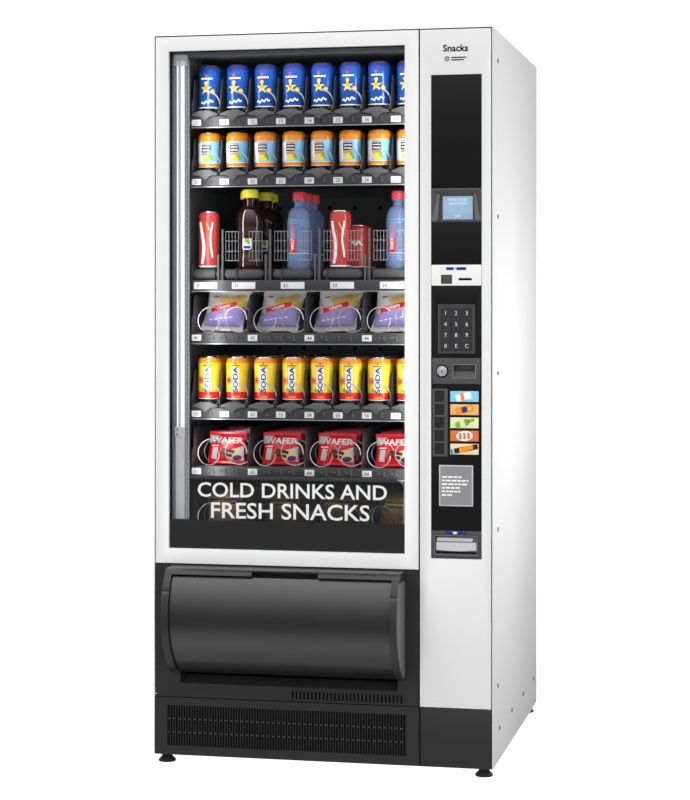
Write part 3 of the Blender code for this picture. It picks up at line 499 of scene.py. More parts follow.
def cad_shape(node, soft=0.0, segments=2):
    """A CAD node's shape in cabinet coordinates, its facets merged and edges rounded."""
    bm = bmesh.new()
    bm.from_mesh(frame["nodes"][node].data)
    bmesh.ops.transform(bm, matrix=frame["nodes"][node].matrix_world, verts=bm.verts)
    bmesh.ops.remove_doubles(bm, verts=bm.verts, dist=1e-5)
    bmesh.ops.dissolve_limit(bm, angle_limit=math.radians(0.5), verts=bm.verts, edges=bm.edges)
    moved(bm, dy=-FRONT)
    return softened(bm, soft, segments)


def node_body(node):
    for body, nodes in frame["record"]["behaviour"]["bodies"].items():
        if node in nodes:
            return body
    return None


def refined(node, name, material, soft=0.0, segments=2, extra=()):
    """Replace a CAD node by its own shape with rounded edges, plus extra parts."""
    parts = [(cad_shape(node, soft, segments), material), *extra]
    return piece(name, node_body(node), parts, (node,))


# ---------------------------------------------------------------- casing
def casing():
    """Outer skin with its blind plugs, the door gaps, the base, the kick cover and the feet."""
    x, depth, z = span("outer_shell")
    plugs = []
    column = [(0.085, 0.2116 + 0.3860 * k) for k in range(5)]
    row = [(0.115 + 0.2320 * k, 0.102) for k in range(4)]
    for side in (x[0], x[1]):
        out = (side - 0.0012, side + 0.0012)
        for plug in column + row:
            plugs.append(rod("x", plug, 0.0058, *out, 16))
    refined("outer_shell", "casing_skin", "casing_white", 0.0010, 2, [(merged(plugs), "slot_black")])
    kick = span("kick_plate")[1][0]
    gaps = [block((0.2466, 0.2498), (0.0003, 0.0012), (0.1690, 1.8255)),
            block((0.2476, 0.2510), (kick + 0.0001, kick + 0.0010), (0.0230, 0.1665)),
            block((-0.4250, 0.4250), (0.0004, 0.0016), (1.8260, 1.8298)), block((0.4259, 0.4281), (0.0150, 0.0160), (0.1690, 1.8290)),
            block((-0.4281, -0.4261), (0.0150, 0.0160), (0.1690, 1.8290))]
    piece("centre_gap", "column_door", [(gaps.pop(0), "slot_black")])
    piece("door_gaps", "cabinet", [(merged(gaps), "slot_black")])
    refined("base_frame", "base_tray", "zinc")
    refined("kick_plate", "kick_cover", "charcoal_paint", 0.0006)
    for foot in ("front_left", "front_right", "rear_left", "rear_right"):
        middle = [sum(pair) / 2 for pair in span(f"foot_{foot}")]
        stem = rod("z", middle[:2], 0.0090, 0.0165, 0.0240, 6)
        refined(f"foot_{foot}", f"levelling_{foot}", "rubber", 0.0006, 2, [(stem, "zinc")])


def kick_grille():
    """Punched intake: thin uprights tied by short bridges at two heights, with a black sheet of painted shade behind
    them.
    """
    x, depth, z = span("kick_grille")
    hole_x, hole_z = (-0.3938, 0.2137), (0.0457, 0.1470)
    count, bar = 91, 0.0023
    frame_parts = [block((x[0], hole_x[0]), depth, z), block((hole_x[1], x[1]), depth, z),
                   block(hole_x, depth, (z[0], hole_z[0])), block(hole_x, depth, (hole_z[1], z[1]))]
    pitch = (hole_x[1] - hole_x[0]) / (count - 1)
    thin = (depth[0], depth[0] + 0.0006)
    bars = repeated(block(about(hole_x[0], bar), thin, hole_z), [(pitch * k, 0, 0) for k in range(count)])
    bridges = []
    for k in range(0, count - 1, 2):
        for level in (0.0795, 0.1132):
            middle = hole_x[0] + pitch * (k + 0.5)
            bridges.append(block(about(middle, pitch - bar + 0.0002), thin, about(level, 0.0024)))
    shapes = merged([*frame_parts, bars])
    # Black sheet behind the bars: painted shade inside the intake.
    intake_shade_sheet = block(grown(hole_x, 0.004), (depth[1] + 0.0012, depth[1] + 0.0030), grown(hole_z, 0.004))
    piece("intake_grille", "cabinet", [(shapes, "charcoal_paint"), (intake_shade_sheet, "slot_black"),
                                       (merged(bridges), "key_line")],
          ("kick_grille",))


def back():
    """Rear cover with its screws, folded rim and a blank rating plate."""
    x, depth, z = span("back_panel")
    skin = depth[1]
    screws = []
    for side in (x[0] + 0.012, x[1] - 0.012):
        for k in range(7):
            screws.append(turned([(0.0042, skin - 0.0005), (0.0042, skin + 0.0006), (0.0028, skin + 0.0012)],
                                 (side, z[0] + 0.05 + 0.285 * k), 14, "y"))
    ribs = [plate((x[0] + 0.06, x[1] - 0.06), about(0.55 + 0.42 * k, 0.020), 0.008, skin - 0.0002, skin + 0.0016, 0.0006)
            for k in range(3)]
    rating = plate((0.270, 0.380), (0.330, 0.400), 0.004, skin - 0.0001, skin + 0.0006)
    extra = [(merged(screws), "chrome"), (merged(ribs), "zinc"), (rating, "label_white")]
    refined("back_panel", "rear_cover", "zinc", 0.0, 2, extra)


def machinery():
    """Compressor with its pipes, finned condenser, fan, coin changer and boards."""
    x, depth, z = span("compressor")
    middle = (sum(x) / 2, sum(depth) / 2)
    pipes = []
    for k, side in enumerate((-1, 1)):
        route = [(middle[0] + side * 0.045, middle[1], 0.100), (middle[0] + side * 0.052, middle[1], 0.125),
                 (middle[0] + side * 0.058, middle[1] - 0.03, 0.145), (middle[0] - 0.10 + side * 0.02, 0.35, 0.146),
                 (middle[0] - 0.18 + side * 0.02, 0.20, 0.146), (-0.12 + side * 0.02, 0.115, 0.140),
                 (-0.12 + side * 0.02, 0.106, 0.120)]
        pipes.append(tube(smooth_path(route, 6), 0.0032, 10))
    seam = turned([(0.0635, 0.066), (0.0655, 0.068), (0.0655, 0.073), (0.0635, 0.075)], middle, 32)
    refined("compressor", "compressor_can", "machine_black", 0.0015, 2,
            [(merged(pipes), "copper"), (seam, "machine_black")])
    x, depth, z = span("condenser")
    fins = repeated(block((x[0] + 0.002, x[0] + 0.0026), (depth[0] - 0.0006, depth[0] + 0.002), grown(z, -0.003)),
                    [(0.004 * k, 0, 0) for k in range(59)])
    refined("condenser", "condenser_pack", "zinc", 0.0, 2, [(fins, "fins")])
    refined("condenser_fan", "fan_rotor", "machine_black")
    x, depth, z = span("coin_changer")
    face = depth[0] + 0.011
    boards = [plate((x[0] + 0.010, x[1] - 0.010), (z[1] - 0.150, z[1] - 0.030), 0.004, face - 0.0035, face - 0.002)]
    chips = [block(about(x[0] + 0.030 + 0.028 * k, 0.016), (face - 0.0065, face - 0.003), about(z[1] - 0.06 - 0.03 * n, 0.010),
                   0.0006) for k in range(4) for n in range(3)]
    refined("coin_changer", "coin_unit", "machine_black", 0.0012, 2,
            [(merged(boards), "board_green"), (merged(chips), "slot_black")])


def smooth_path(route, steps):
    """Points along a smooth curve through a route."""
    points = [Vector(p) for p in route]
    ends = [points[0] * 2 - points[1], *points, points[-1] * 2 - points[-2]]
    path = []
    for a, b, c, d in zip(ends, ends[1:], ends[2:], ends[3:]):
        for k in range(steps):
            t = k / steps
            path.append(0.5 * ((2 * b) + (c - a) * t + (2 * a - 5 * b + 4 * c - d) * t ** 2
                               + (3 * b - a - 3 * c + d) * t ** 3))
    return [*path, points[-1]]


# ---------------------------------------------------------------- glass door
def glass_door():
    """Window surround, glazing with its printed foot, header trim and gasket."""
    refined("door_frame", "window_surround", "frame_white", 0.0008, 2)
    frame["nodes"]["door_glass"].data.materials.clear()
    frame["nodes"]["door_glass"].data.materials.append(MATERIALS["window_glass"])
    x, depth, z = span("door_glass")
    window_x, window_z = grown(x, -0.0075), grown(z, -0.0075)
    band = block(window_x, (depth[0] - 0.0004, depth[0] - 0.0001), (window_z[0], 0.6130))
    piece("glass_print", "glass_door", [(band, "band_black")])
    header = [(block(grown(window_x, -0.001), (0.030, 0.050), (1.7790, 1.7895), 0.0010), "chamber"),
              (block((window_x[0] + 0.030, window_x[1]), (0.0288, 0.0300), (1.7790, 1.7812)), "bezel_edge")]
    piece("header_trim", "glass_door", header)
    rim = ring_plate(rounded(grown(window_x, 0.004), grown(window_z, 0.004), 0.006),
                     rounded(grown(window_x, -0.001), grown(window_z, -0.001), 0.006), depth[1] + 0.0002, depth[1] + 0.004)
    piece("glazing_gasket", "glass_door", [(rim, "rubber")])
    seal_x, seal_z = (-0.3830, 0.2340), (0.5060, 1.7880)
    seal = ring_plate(rounded(grown(seal_x, 0.010), grown(seal_z, 0.010), 0.010), rounded(seal_x, seal_z, 0.010),
                      0.0502, 0.0550)
    piece("magnetic_seal", "glass_door", [(seal, "rubber")])


def lamp():
    """Two lit strips in a grey profile, a clear cap at the top and a pale cover below."""
    run = (0.612, 1.768)
    glow = merged([prism("z", rounded((-0.3790, -0.3752), (0.0290, 0.0345), 0.0016, 3), *run),
                   prism("z", rounded((-0.3690, -0.3590), (0.0290, 0.0345), 0.0022, 3), *run)])
    veil = block((-0.3752, -0.3690), (0.0310, 0.0340), run)
    shade = merged([block((-0.3912, -0.3785), (0.0300, 0.0480), (0.560, 1.780), 0.0008),
                    block((-0.3785, -0.3483), (0.0345, 0.0420), (0.566, 1.774), 0.0008)])
    cap = merged([plate((-0.3860, -0.3500), (1.7560, 1.7840), 0.004, 0.0262, 0.0286, 0.0006),
                  block((-0.3830, -0.3530), (0.0275, 0.0440), (1.7680, 1.7710))])
    cover = merged([plate((-0.3835, -0.3560), (0.8180, 0.8440), 0.003, 0.0255, 0.0285, 0.0006),
                    plate((-0.3815, -0.3575), (0.6120, 0.8200), 0.002, 0.0268, 0.0288, 0.0004)])
    screws = merged([rod("y", (-0.3765, at), 0.0020, 0.0250, 0.0262, 12) for at in (0.826, 0.838)])
    ladder = merged([block((-0.3565, -0.3545), (0.0330, 0.0342), run), block((-0.3495, -0.3480), (0.0330, 0.0342), run)]
                    + [block((-0.3565, -0.3480), (0.0332, 0.0340), about(0.62 + 0.0125 * k, 0.0014)) for k in range(92)])
    piece("lamp_unit", "glass_door", [(glow, "lamp_glow"), (shade, "lamp_shade"), (cap, "clear_plastic"), (veil, "clip_grey"),
                                      (cover, "clip_grey"), (screws, "slot_black"), (ladder, "clip_grey")],
          ("door_lamp",))


def banner():
    """Smoked mesh screen in a bent wire frame, with two lines of plain words."""
    x, depth, z = span("banner_screen")
    corner = 0.022
    front = depth[0]
    sheet_x, x = x, (x[0] - 0.0090, x[1] + 0.0020)
    path = [(x[0], front - 0.003, z[0]), (x[0], front - 0.003, z[1] - corner)]
    for start, cx in ((180, x[0] + corner), (90, x[1] - corner)):
        for k in range(7):
            turn = math.radians(start - 90 * k / 6)
            path.append((cx + corner * math.cos(turn), front - 0.003, z[1] - corner + corner * math.sin(turn)))
    path.append((x[1], front - 0.003, z[0]))
    wire = tube(path, 0.0024, 10)
    bar = block((x[0] + 0.0180, x[1] - 0.0180), (front - 0.0062, front - 0.0002), (z[1] - 0.0060, z[1] + 0.0028), 0.0010)
    sheet = plate(grown(sheet_x, -0.003), (z[0], z[1] - 0.003), 0.018, front + 0.0006, front + 0.0016)
    letters = []
    for text, height, low, left, right in (("COLD DRINKS AND", 0.0370, 0.6690, -0.327, 0.160),
                                           ("FRESH SNACKS", 0.0400, 0.6160, -0.292, 0.116)):
        line = lettering(text, height, 0.0, low + height / 2, front - 0.0004, 0.0008, "LEFT", bold=0.0006)
        reach = [min(v.co.x for v in line.verts), max(v.co.x for v in line.verts)]
        for vert in line.verts:
            vert.co.x = left + (vert.co.x - reach[0]) * (right - left) / (reach[1] - reach[0])
        letters.append(line)
    piece("banner_panel", "glass_door",
          [(sheet, "smoked_mesh"), (wire, "trim_light"), (bar, "tray_coat"), (merged(letters), "print_white")],
          ("banner_screen",))


def drum():
    """Fascia, hood, flap and bin of the delivery drum, with the dark joints between them, a painted highlight on the
    cheeks' sides and a black sheet of painted shade behind the outlet slots.
    """
    latch = [(plate((-0.4252, -0.4225), (0.1735, 0.1760), 0.0008, -0.0004, 0.0010), "print_white")]
    hole_x, hole_z = (-0.0753, 0.2095), (0.1740, 0.1945)
    pitch, face = 0.0098, (-0.0018, -0.0004)
    louvre = [plate((hole_x[0] - 0.004, hole_x[1] + 0.004), (hole_z[1], hole_z[1] + 0.003), 0.0005, *face),
              plate((hole_x[0] - 0.004, hole_x[1] + 0.004), (hole_z[0] - 0.003, hole_z[0]), 0.0005, *face)]
    count = math.floor((hole_x[1] - hole_x[0]) / pitch + 1.01)
    louvre += [block(about(hole_x[0] + pitch * k, 0.0050), face, hole_z) for k in range(count)]
    # Black sheet behind the louvre bars: painted shade in the outlet slots.
    shade = block(grown(hole_x, 0.002), (-0.0004, -0.0001), hole_z)
    latch += [(merged(louvre), "charcoal_plastic"), (shade, "slot_black")]
    refined("delivery_fascia", "drum_fascia", "charcoal_plastic", 0.0, 2, latch)
    refined("delivery_hood", "drum_hood", "charcoal_plastic", 0.0008, 2)
    refined("delivery_flap", "drum_flap", "flap_plastic")
    refined("delivery_bin", "drop_bin", "charcoal_plastic", 0.0006, 2)
    axis, radius, seam = (0.060, 0.385), 0.170, 0.4482
    low, high = span("delivery_hood")[0]
    reach = axis[0] - math.sqrt(radius ** 2 - (seam - axis[1]) ** 2)
    joints = []
    for outer, inner in ((low, low + 0.018), (high, high - 0.018)):
        edge = sorted((outer + math.copysign(0.0003, outer - inner), inner + math.copysign(0.0003, inner - outer)))
        joints.append(block(edge, (reach - 0.0003, -0.0002), about(seam, 0.0012)))
        gap = sorted((inner, inner + math.copysign(0.0011, inner - outer)))
        arc = [(axis[0] - r * math.cos(t), axis[1] + r * math.sin(t)) for r, turns in
               ((0.1612, range(-66, 36, 3)), (0.1500, range(33, -67, -3))) for t in map(math.radians, turns)]
        joints.append(prism("x", arc, *gap))
    # Lighter arcs on the cheeks' outer sides: a painted highlight that stands in for their reflection.
    highlight_arcs = []
    for side, out in ((low, -1), (high, 1)):
        arc = [(axis[0] - 0.1690 * math.cos(t), axis[1] + 0.1690 * math.sin(t)) for t in
               map(math.radians, range(-60, 35, 3))]
        highlight_arcs.append(prism("x", [(-0.0010, arc[0][1]), *arc, (-0.0010, arc[-1][1])], *sorted((side, side + out * 0.0004))))
    seams = [block((-0.4230, 0.2460), (-0.0004, 0.0004), about(level, 0.0016)) for level in (0.5027, 0.1676)]
    piece("drum_joints", "glass_door", [(merged(joints), "slot_black"), (merged(highlight_arcs), "painted_cheek_highlight"),
                                        (merged(seams), "slot_black")])


# ---------------------------------------------------------------- column door
def column_front():
    """White face with a plain badge, and the black insert."""
    x, depth, z = span("column_panel")
    face = depth[0]
    badge_x, badge_z = (0.3050, 0.3710), (1.7460, 1.7890)
    word = lettering("Snacks", 0.0168, sum(badge_x) / 2, badge_z[1] - 0.0095, face - 0.0003, 0.0005, bold=0.0006)
    mark = [ring_plate(circle((0.3170, 1.7530), 0.0062, 24), circle((0.3170, 1.7530), 0.0040, 24), face - 0.0002,
                       face + 0.0001),
            rod("y", (0.3170, 1.7530), 0.0020, face - 0.0002, face + 0.0001, 18)]
    dashes = [plate((0.3270, 0.3650 - 0.006 * k), about(1.7560 - 0.0060 * k, 0.0030), 0.0011, face - 0.0002, face + 0.0001)
              for k in range(2)]
    refined("column_panel", "column_face", "casing_white", 0.0006, 2,
            [(word, "slot_black"), (merged(mark + dashes), "slot_black")])
    refined("control_fascia", "black_insert", "insert_black", 0.0003, 2)


def display_unit():
    """Bezel and the lit screen with two short generic lines."""
    x, depth, z = span("display_bezel")
    near = depth[0]
    # Lighter flat facets on the bezel's sides and a light line on its top: painted light on the inner slopes and the
    # top edge.
    facets = [prism("y", [(x[0] + 0.0020, z[0] + 0.0030), (x[0] + 0.0160, z[0] + 0.0060), (x[0] + 0.0205, z[1] - 0.0140),
                          (x[0] + 0.0150, z[1] - 0.0110)], near - 0.0003, near + 0.0001),
              prism("y", [(x[1] - 0.0020, z[0] + 0.0030), (x[1] - 0.0160, z[0] + 0.0060), (x[1] - 0.0190, z[1] - 0.0140),
                          (x[1] - 0.0140, z[1] - 0.0110)], near - 0.0003, near + 0.0001),
              block(x, (near - 0.0004, near + 0.0001), (z[1] - 0.0012, z[1] + 0.0010))]
    refined("display_bezel", "screen_bezel", "bezel_grey", 0.0003, 2, [(merged(facets), "bezel_edge")])
    x, depth, z = span("display_screen")
    front = depth[0] - 0.0001
    middle = sum(x) / 2
    words = [lettering("MAKE YOUR", 0.0058, middle, z[1] - 0.0085, front, 0.0002, width=1.05),
             lettering("SELECTION", 0.0058, middle, z[1] - 0.0175, front, 0.0002, width=1.05),
             lettering("0.00", 0.0062, middle, z[0] + 0.0085, front, 0.0002)]
    refined("display_screen", "lit_screen", "screen_blue", 0.0003, 2, [(merged(words), "screen_text")])


def coin_entry():
    """Coin plate with its lit window, and the return button."""
    x, depth, z = span("coin_plate")
    front = depth[0]
    window_x, window_z = (0.3143, 0.3641), (1.2367, 1.2445)
    lights = []
    for low, high, look in ((0.3147, 0.3335, "led_blue"), (0.3335, 0.3358, "print_white"),
                            (0.3358, 0.3400, "led_white"), (0.3404, 0.3637, "led_blue")):
        lights.append((block((low, high), (front + 0.0001, front + 0.0006), grown(window_z, -0.0005), 0.0001), look))
    # Black block behind the coin slot: painted shade inside the slot.
    slot_back = block((0.3449, 0.3779), (0.0105, 0.0115), (1.2120, 1.2177))
    refined("coin_plate", "coin_entry", "white_plastic", 0.0003, 2, [*lights, (slot_back, "slot_black")])
    refined("coin_return_button", "return_button", "bezel_grey", 0.0006, 3)


def keypad():
    """Framed keypad; every key carries its own legend."""
    x, depth, z = span("keypad_frame")
    # Lighter ring on the frame's rim: a painted highlight on its edge.
    edge = ring_plate(rounded(grown(x, 0.0001), grown(z, 0.0001), 0.0010), rounded(grown(x, -0.0022), grown(z, -0.0022), 0.0008),
                      depth[0] - 0.0006, depth[0] + 0.0002)
    columns, rows = [0.3135 + 0.0262 * k for k in range(3)], [1.1323 - 0.0266 * k for k in range(4)]
    lines = [block(about(at, 0.0009), (depth[0] - 0.0003, depth[0] + 0.0002), (rows[3] - 0.0133, rows[0] + 0.0133))
             for at in (columns[0] - 0.0131, *(place + 0.0131 for place in columns))]
    lines += [block((columns[0] - 0.0131, columns[2] + 0.0131), (depth[0] - 0.0003, depth[0] + 0.0002), about(at, 0.0009))
              for at in (rows[0] + 0.0133, *(place - 0.0133 for place in rows))]
    refined("keypad_frame", "key_frame", "keypad", 0.0004, 2, [(edge, "lock_grey"), (merged(lines), "key_line")])
    legends = {"clear": "C", "enter": "E"}
    for key in ("1", "2", "3", "4", "5", "6", "7", "8", "9", "0", "enter", "clear"):
        x, depth, z = span(f"key_{key}")
        legend = lettering(legends.get(key, key), 0.0098, sum(x) / 2, sum(z) / 2, depth[0] - 0.0003, 0.0003, bold=-0.0001)
        refined(f"key_{key}", f"cap_{key}", "key_face", 0.0, 2, [(legend, "legend")])


def lock_unit():
    """Lock plate with the framed pull recess, and the round lock."""
    pull_x, pull_z = (0.3328, 0.3865), (0.9748, 1.0059)
    rim = ring_plate(rounded(grown(pull_x, 0.0016), grown(pull_z, 0.0016), 0.0022),
                     rounded(grown(pull_x, 0.0001), grown(pull_z, 0.0001), 0.0014), -0.0006, 0.0006)
    x, depth, z = span("lock_cylinder")
    centre, front = (0.3049, 0.9904), depth[0]
    collar = turned([(0.0158, 0.0004), (0.0158, -0.0004), (0.0152, -0.0010), (0.0136, -0.0010), (0.0134, -0.0004)],
                    centre, 36, "y")
    slope = prism("x", [(0.0015, pull_z[0] + 0.0004), (0.0015, pull_z[0] + 0.0012), (0.0100, pull_z[0] + 0.0160),
                        (0.0110, pull_z[0] + 0.0160), (0.0110, pull_z[0] + 0.0004)], pull_x[0] + 0.0005, pull_x[1] - 0.0005)
    refined("lock_plate", "lock_surround", "lock_grey", 0.0004, 2,
            [(rim, "trim_light"), (collar, "slot_black"), (slope, "lock_grey")])
    barrel = turned([(0.0126, depth[1]), (0.0126, front - 0.0004), (0.0118, front - 0.0012), (0.0106, front - 0.0012),
                     (0.0098, front - 0.0002), (0.0090, front - 0.0008), (0.0060, front - 0.0018), (0.0002, front - 0.0022)],
                    centre, 40, "y")
    # Black keyway: painted shade in the key slot.
    keyway = block(about(centre[0] + 0.0005, 0.0020), (front - 0.0024, front - 0.0012), about(centre[1], 0.0074), 0.0002)
    piece("lock_barrel", node_body("lock_cylinder"), [(barrel, "lock_steel"), (keyway, "slot_black")],
          ("lock_cylinder",))


def product_mark(kind, x, z, front):
    """A small plain picture of a can, a bottle, a fruit, a wafer or a bar."""
    mid_x, mid_z = sum(x) / 2, sum(z) / 2
    thick = (front - 0.0003, front)
    centre = (mid_x, 0, mid_z)
    if kind == "can":
        body = plate(about(mid_x, 0.032), about(mid_z, 0.0125), 0.003, *thick)
        band = plate(about(mid_x - 0.004, 0.006), about(mid_z, 0.0127), 0.0005, thick[0] - 0.0002, thick[0])
        ends = plate(about(mid_x + 0.014, 0.004), about(mid_z, 0.010), 0.001, thick[0] - 0.0002, thick[0])
        looks = ((body, "print_white"), (band, "print_orange"), (ends, "blue_pale"))
    elif kind == "juice":
        body = plate(about(mid_x, 0.034), about(mid_z, 0.0135), 0.004, *thick)
        band = plate(about(mid_x, 0.010), about(mid_z, 0.0095), 0.003, thick[0] - 0.0002, thick[0])
        drop = prism("y", circle((mid_x + 0.010, mid_z), 0.0035, 16), thick[0] - 0.0002, thick[0])
        looks = ((body, "print_orange"), (band, "print_navy"), (drop, "print_yellow"))
    elif kind == "bottle":
        body = plate(about(mid_x - 0.004, 0.026), about(mid_z, 0.0110), 0.004, *thick)
        neck = plate(about(mid_x + 0.013, 0.012), about(mid_z, 0.0050), 0.001, *thick)
        tag = plate(about(mid_x - 0.004, 0.009), about(mid_z, 0.0112), 0.001, thick[0] - 0.0002, thick[0])
        looks = ((body, "print_green"), (neck, "print_green"), (tag, "lime_print"))
    elif kind == "wafer":
        body = prism("y", [(mid_x + 0.0150 * math.cos(t) , mid_z + 0.0085 * math.sin(t))
                           for t in (2 * math.pi * k / 28 for k in range(28))], *thick)
        bars = [plate(about(mid_x + 0.0075 * k, 0.0045), about(mid_z, 0.0105), 0.001, thick[0] - 0.0002, thick[0])
                for k in (-1, 0, 1)]
        looks = ((body, "print_white"), (merged(bars), "rust_print"))
    else:
        body = plate(about(mid_x, 0.050), about(mid_z, 0.0110), 0.002, *thick)
        band = plate(about(mid_x + 0.003, 0.026), about(mid_z, 0.0072), 0.002, thick[0] - 0.0002, thick[0])
        tips = plate(about(mid_x - 0.021, 0.004), about(mid_z, 0.0112), 0.0005, thick[0] - 0.0002, thick[0])
        looks = ((body, "print_dark"), (band, "print_orange"), (tips, "blue_pale"))
    tilt = {"can": 14, "juice": 16, "bottle": 18, "wafer": 4, "bar": 14}[kind]
    for shape, look in looks:
        turned_about(shape, -tilt, "Y", centre)
        for vert in shape.verts:
            vert.co.x = mid_x + (vert.co.x - mid_x) * 1.35
            vert.co.z = min(max(mid_z + (vert.co.z - mid_z) * 1.45, z[0] + 0.0006), z[1] - 0.0006)
    return list(looks)


def selection():
    """Rail with its five cells, the picture cards beside them and the notice card."""
    refined("selection_rail", "cell_rail", "lock_grey", 0.0005, 2)
    rail_x, rail_depth, rail_z = span("selection_rail")
    kinds = ("can", "juice", "bottle", "wafer", "bar")
    looks = ("sky_print", "peach_print", "lime_print", "rust_print", "cream_print")
    front = span("control_fascia")[1][0]
    cards = []
    for k, (kind, look) in enumerate(zip(kinds, looks)):
        cell_x, cell_depth, cell_z = span(f"selection_button_{k + 1}")
        refined(f"selection_button_{k + 1}", f"push_cell_{k + 1}", "cell_black", 0.0, 2)
        card_x, card_z = (0.3251, 0.3948), about(sum(cell_z) / 2, 0.0262)
        cards.append((plate(card_x, card_z, 0.0008, front - 0.0004, front + 0.0001, 0.0001), look))
        cards += product_mark(kind, card_x, card_z, front - 0.0004)
    piece("picture_cards", "column_door", cards)
    card_x, card_z = (0.2972, 0.3813), (0.6609, 0.7611)
    notice = [(plate(card_x, card_z, 0.0012, front - 0.0005, front + 0.0001, 0.0001), "card_edge"),
              (plate(grown(card_x, -0.0032), grown(card_z, -0.0032), 0.0006, front - 0.0007, front - 0.0004), "card_grey")]
    lines = []
    for k, share in enumerate((0.74, 0.96, 0.96, 0.66, 0.76, 0.42)):
        left, level = card_x[0] + 0.0070, card_z[1] - 0.0290 - 0.0088 * k
        reach = left + 0.068 * share
        words = random.Random(k)
        while left < reach - 0.004:
            word = min(words.uniform(0.006, 0.014), reach - left)
            lines.append(plate((left, left + word), about(level, 0.0042), 0.0010, front - 0.0009, front - 0.0006))
            left += word + 0.0022
    notice.append((merged(lines), "print_white"))
    piece("notice_card", "column_door", notice)


def change_cup():
    """Change cup with its lit bar and brushed inside, and the hinged steel leaf."""
    x, depth, z = span("coin_cup")
    cup_x, cup_z = (0.2873, 0.3906), (0.5428, 0.5879)
    front = depth[0]
    lights = []
    for low, high, look in ((0.3150, 0.3310, "led_blue"), (0.3310, 0.3345, "led_white"), (0.3345, 0.3385, "print_white"),
                            (0.3385, 0.3420, "led_white"), (0.3420, 0.3640, "led_blue")):
        lights.append((block((low, high), (front - 0.0003, front + 0.0001), (0.5930, 0.5985), 0.0001), look))
    rim = ring_plate(rounded(grown(cup_x, 0.0012), grown(cup_z, 0.0012), 0.0018),
                     rounded(grown(cup_x, 0.0001), grown(cup_z, 0.0001), 0.0012), -0.0002, 0.0006)
    refined("coin_cup", "change_cup", "bezel_grey", 0.0003, 2, [*lights, (rim, "trim_light")])
    x, depth, z = span("coin_cup_flap")
    lip = prism("x", [(depth[0] + 0.0005, z[1] - 0.0120), (depth[0] - 0.0016, z[1] - 0.0110), (depth[0] - 0.0018, z[1] - 0.0040),
                      (depth[0] + 0.0005, z[1] - 0.0020)], x[0] + 0.0060, x[1] - 0.0120)
    scoop = []
    steps = 24
    for k in range(steps):
        ends = [x[0] + 0.0030 + (x[1] - x[0] - 0.0060) * (k + part) / steps for part in (0, 1)]
        backs = [depth[0] - 0.0008 - 0.0040 * math.sin(math.pi * (k + part) / steps) for part in (0, 1)]
        strip = prism("z", [(ends[0], backs[0]), (ends[1], backs[1]), (ends[1], depth[0]), (ends[0], depth[0])],
                      z[0] + 0.0040 - 0.0020 * math.sin(math.pi * (k + 0.5) / steps), z[1] - 0.0135)
        scoop.append(strip)
    refined("coin_cup_flap", "change_leaf", "bezel_edge", 0.0003, 2, [(lip, "cup_steel"), (merged(scoop), "cup_steel")])


# ---------------------------------------------------------------- chamber
def chamber():
    """Dark liner with pierced uprights, an air duct at the back and a cooler cover."""
    frame["nodes"]["inner_chamber"].data.materials.clear()
    frame["nodes"]["inner_chamber"].data.materials.append(MATERIALS["chamber"])
    x, z = (-0.3850, 0.2360), (0.1900, 1.7900)
    tray_x = span("tray_1")[0]
    uprights = []
    holes = []
    for low, high in ((x[0] + 0.0002, tray_x[0] - 0.0010), (tray_x[1] + 0.0010, x[1] - 0.0002)):
        uprights.append(block((low, high), (0.104, 0.108), (z[0] + 0.01, z[1] - 0.01), 0.0004))
        middle = (low + high) / 2
        # Black patches for the perforations: painted shade in the holes.
        holes.append(repeated(plate(about(middle, 0.0050), (0.205, 0.213), 0.0012, 0.1036, 0.1042),
                              [(0, 0, 0.0250 * k) for k in range(63)]))
    piece("rack_uprights", "cabinet", [(merged(uprights), "trim_light"), (merged(holes), "slot_black")])
    duct_y = 0.8330
    duct = plate(grown(x, -0.020), (z[0] + 0.02, z[1] - 0.02), 0.010, duct_y - 0.006, duct_y + 0.0015, 0.0015)
    vents = []
    for level in (0.62, 0.80, 0.97, 1.0275, 1.14, 1.36, 1.432, 1.56, 1.70):
        # Black discs for the vents: painted shade in the openings.
        hole = rod("y", (x[0] + 0.075, level), 0.0065, duct_y - 0.0066, duct_y - 0.0055, 16)
        vents.append(repeated(hole, [(0.0744 * k, 0, 0) for k in range(7)]))
    piece("air_duct", "cabinet", [(duct, "duct_grey"), (merged(vents), "slot_black")])


# ---------------------------------------------------------------- trays and stock
CAN_LANES, CONVEYOR_LANES, WIDE_LANES = 8, 5, 4
LANES = (8, 8, 5, 4, 8, 4, 4)
TRAY_SPANS = [span(f"tray_{k}") for k in range(1, 8)]
LEFT, RIGHT = TRAY_SPANS[0][0]
LIP_FRONT, TRAY_BACK_Y = TRAY_SPANS[0][1]
LEVELS = [z[0] for x, depth, z in TRAY_SPANS]


def lane_middles(lanes):
    pitch = (RIGHT - LEFT) / lanes
    return [LEFT + pitch * (k + 0.5) for k in range(lanes)]


def coil_wire(x, z, radius, wire, pitch, hand, start, end, first=0.0, per_turn=40, sides=7):
    """A steel spiral; first is the angle in degrees at which its front end lies."""
    turns = (end - start) / pitch
    steps = int(per_turn * turns)
    path = []
    for k in range(steps + 1):
        turn = math.radians(first) + 2 * math.pi * turns * k / steps * hand
        path.append((x + radius * math.cos(turn), start + (end - start) * k / steps, z + radius * math.sin(turn)))
    return tube(path, wire, sides)


def numbered(number, x, z, width=0.0248, height=0.0156):
    """A white label with a small number, for the lip of a tray."""
    face = LIP_FRONT - 0.0010
    card = plate((x, x + width), about(z, height), 0.0010, face, LIP_FRONT + 0.0002, 0.0002)
    digits = lettering(str(number), min(height, 0.0156) * 0.56, x + min(width / 2, 0.0124), z, face - 0.0002, 0.0003,
                       bold=0.00014)
    return card, digits


